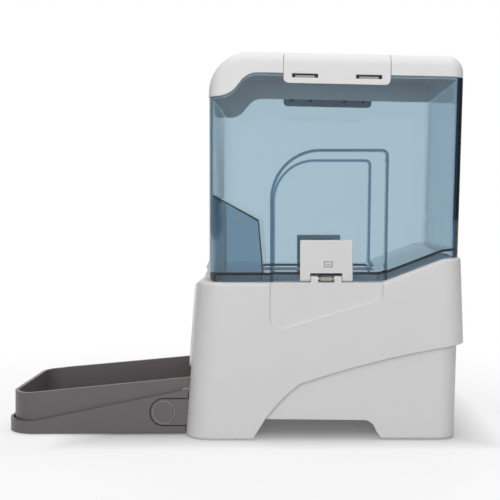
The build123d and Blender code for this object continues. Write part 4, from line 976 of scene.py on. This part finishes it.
class FEEDER_OT_stage(bpy.types.Operator):
    """Floor, soft studio light and the camera"""

    bl_idname = "feeder.stage"
    bl_label = "Studio"

    def execute(self, context):
        scene = context.scene
        scene.view_settings.view_transform = "Standard"
        self.world(scene)
        self.floor()
        for lamp in LAMPS:
            self.lamp(scene, *lamp)
        self.camera(scene)
        return {"FINISHED"}

    def world(self, scene):
        """White backdrop with a milder light from all round, least from the ends."""
        world = bpy.data.worlds.new("studio")
        world.use_nodes = True
        scene.world = world
        tree = world.node_tree
        tree.nodes.clear()
        aim = tree.nodes.new("ShaderNodeTexCoord")
        split = tree.nodes.new("ShaderNodeSeparateXYZ")
        tree.links.new(aim.outputs["Generated"], split.inputs[0])
        along = maths(tree, "ABSOLUTE", split.outputs["X"])
        ambient = tree.nodes.new("ShaderNodeBackground")
        ambient.inputs["Color"].default_value = WHITE
        mild = map_range(tree, along, ENDS_FROM, ENDS_FULL, AMBIENT_SIDES, AMBIENT_ENDS)
        tree.links.new(mild, ambient.inputs["Strength"])
        backdrop = tree.nodes.new("ShaderNodeBackground")
        light = backdrop_light(tree, split.outputs["X"])
        tree.links.new(light, backdrop.inputs["Color"])
        path = tree.nodes.new("ShaderNodeLightPath")
        loss = map_range(tree, along, ENDS_FROM, ENDS_FULL, 0.0, MIRROR_LOSS)
        loss = maths(tree, "MULTIPLY", loss, path.outputs["Is Glossy Ray"])
        tree.links.new(maths(tree, "SUBTRACT", 1.0, loss), backdrop.inputs["Strength"])
        surface = mix_shaders(
            tree,
            backdrop_rays(tree),
            ambient.outputs["Background"],
            backdrop.outputs["Background"],
        )
        output = tree.nodes.new("ShaderNodeOutputWorld")
        tree.links.new(surface, output.inputs["Surface"])

    def floor(self):
        """Plain pale floor that keeps the shadow, has painted shade under the object and fades to
        the backdrop's white.
        """
        shape = bmesh.new()
        bmesh.ops.create_grid(shape, x_segments=1, y_segments=1, size=FLOOR_HALF)
        bmesh.ops.translate(shape, verts=shape.verts, vec=(0.0, 0.0, -FLOOR_DROP))
        made, tree, shader, output = material("studio_floor")
        shader.inputs["Base Color"].default_value = FLOOR_TONE
        shader.inputs["Roughness"].default_value = FLOOR_ROUGHNESS
        shader.inputs["Specular IOR Level"].default_value = 0.0
        place = tree.nodes.new("ShaderNodeTexCoord")
        split = tree.nodes.new("ShaderNodeSeparateXYZ")
        tree.links.new(place.outputs["Object"], split.inputs[0])
        rays = backdrop_rays(tree)
        glow = tree.nodes.new("ShaderNodeEmission")
        lift = maths(tree, "MULTIPLY", self.lift(tree, split.outputs), rays)
        tree.links.new(lift, glow.inputs["Strength"])
        both = tree.nodes.new("ShaderNodeAddShader")
        tree.links.new(shader.outputs["BSDF"], both.inputs[0])
        tree.links.new(glow.outputs["Emission"], both.inputs[1])
        away = tree.nodes.new("ShaderNodeVectorMath")
        away.operation = "LENGTH"
        tree.links.new(place.outputs["Object"], away.inputs[0])
        fade = map_range(tree, away.outputs["Value"], FADE_FROM, FADE_FULL, 0.0, 1.0)
        white = tree.nodes.new("ShaderNodeEmission")
        tree.links.new(backdrop_light(tree, split.outputs["X"]), white.inputs["Color"])
        surface = mix_shaders(
            tree,
            maths(tree, "MULTIPLY", fade, rays),
            both.outputs["Shader"],
            white.outputs["Emission"],
        )
        tree.links.new(surface, output.inputs["Surface"])
        floor = from_bmesh("floor", shape, made)

    def lift(self, tree, place):
        """Glow of the floor: little under the object as painted shade, and more clear of it."""
        ahead = maths(tree, "ABSOLUTE", maths(tree, "SUBTRACT", place["X"], FOOT_MIDDLE))
        ahead = maths(tree, "SUBTRACT", ahead, FOOT_HALF_LENGTH)
        aside = maths(tree, "SUBTRACT", maths(tree, "ABSOLUTE", place["Y"]), FOOT_HALF_WIDTH)
        distance = maths(tree, "MAXIMUM", ahead, aside)
        # Painted shade: less glow within the object's footprint darkens the floor under it.
        return map_range(tree, distance, LIFT_FROM, LIFT_FULL, LIFT_UNDER_PAINTED_SHADE, LIFT_CLEAR)

    def lamp(self, scene, name, place, target, size, power):
        """A square softbox aimed at a point."""
        data = bpy.data.lights.new(name, "AREA")
        data.shape = "SQUARE"
        data.size = size
        data.energy = power
        lamp = bpy.data.objects.new(name, data)
        lamp.visible_camera = False
        lamp.visible_transmission = False
        lamp.visible_glossy = False
        aim = (Vector(target) - Vector(place)).to_track_quat("-Z", "Y")
        lamp.matrix_world = Matrix.Translation(place) @ aim.to_matrix().to_4x4()
        scene.collection.objects.link(lamp)

    def camera(self, scene):
        """Level side view."""
        data = bpy.data.cameras.new("camera")
        data.sensor_width = CAMERA_SENSOR
        data.lens = CAMERA_LENS
        data.shift_x, data.shift_y = CAMERA_SHIFT
        camera = bpy.data.objects.new("camera", data)
        camera.location = CAMERA_PLACE
        camera.rotation_euler = CAMERA_TURN
        scene.collection.objects.link(camera)
        scene.camera = camera


OPERATORS = (
    FEEDER_OT_shells,
    FEEDER_OT_hopper,
    FEEDER_OT_bowl,
    FEEDER_OT_works,
    FEEDER_OT_springs,
    FEEDER_OT_panel,
    FEEDER_OT_stage,
)


class FEEDER_PT_sidebar(bpy.types.Panel):
    """Settings and steps of the feeder"""

    bl_idname = "FEEDER_PT_sidebar"
    bl_label = "Pet Feeder"
    bl_space_type = "VIEW_3D"
    bl_region_type = "UI"
    bl_category = "Feeder"

    def draw(self, context):
        for group in (context.scene.feeder_finish, context.scene.feeder_sizes):
            box = self.layout.box()
            for name in group.bl_rna.properties.keys():
                if name not in ("rna_type", "name"):
                    box.prop(group, name)
        for operator in OPERATORS:
            self.layout.operator(operator.bl_idname)


CLASSES = (FeederFinish, FeederSizes, *OPERATORS, FEEDER_PT_sidebar)


def register():
    for item in CLASSES:
        bpy.utils.register_class(item)
    bpy.types.Scene.feeder_finish = PointerProperty(type=FeederFinish)
    bpy.types.Scene.feeder_sizes = PointerProperty(type=FeederSizes)


def unregister():
    del bpy.types.Scene.feeder_sizes
    del bpy.types.Scene.feeder_finish
    for item in reversed(CLASSES):
        bpy.utils.unregister_class(item)


def main():
    """Builds the scene."""
    register()
    for name in ("Cube", "Light", "Camera"):
        if name in bpy.data.objects:
            bpy.data.objects.remove(bpy.data.objects[name])
    bpy.ops.feeder.shells()
    bpy.ops.feeder.hopper()
    bpy.ops.feeder.bowl()
    bpy.ops.feeder.works()
    bpy.ops.feeder.springs()
    bpy.ops.feeder.panel()
    bpy.ops.feeder.stage()


if __name__ == "__main__":
    main()
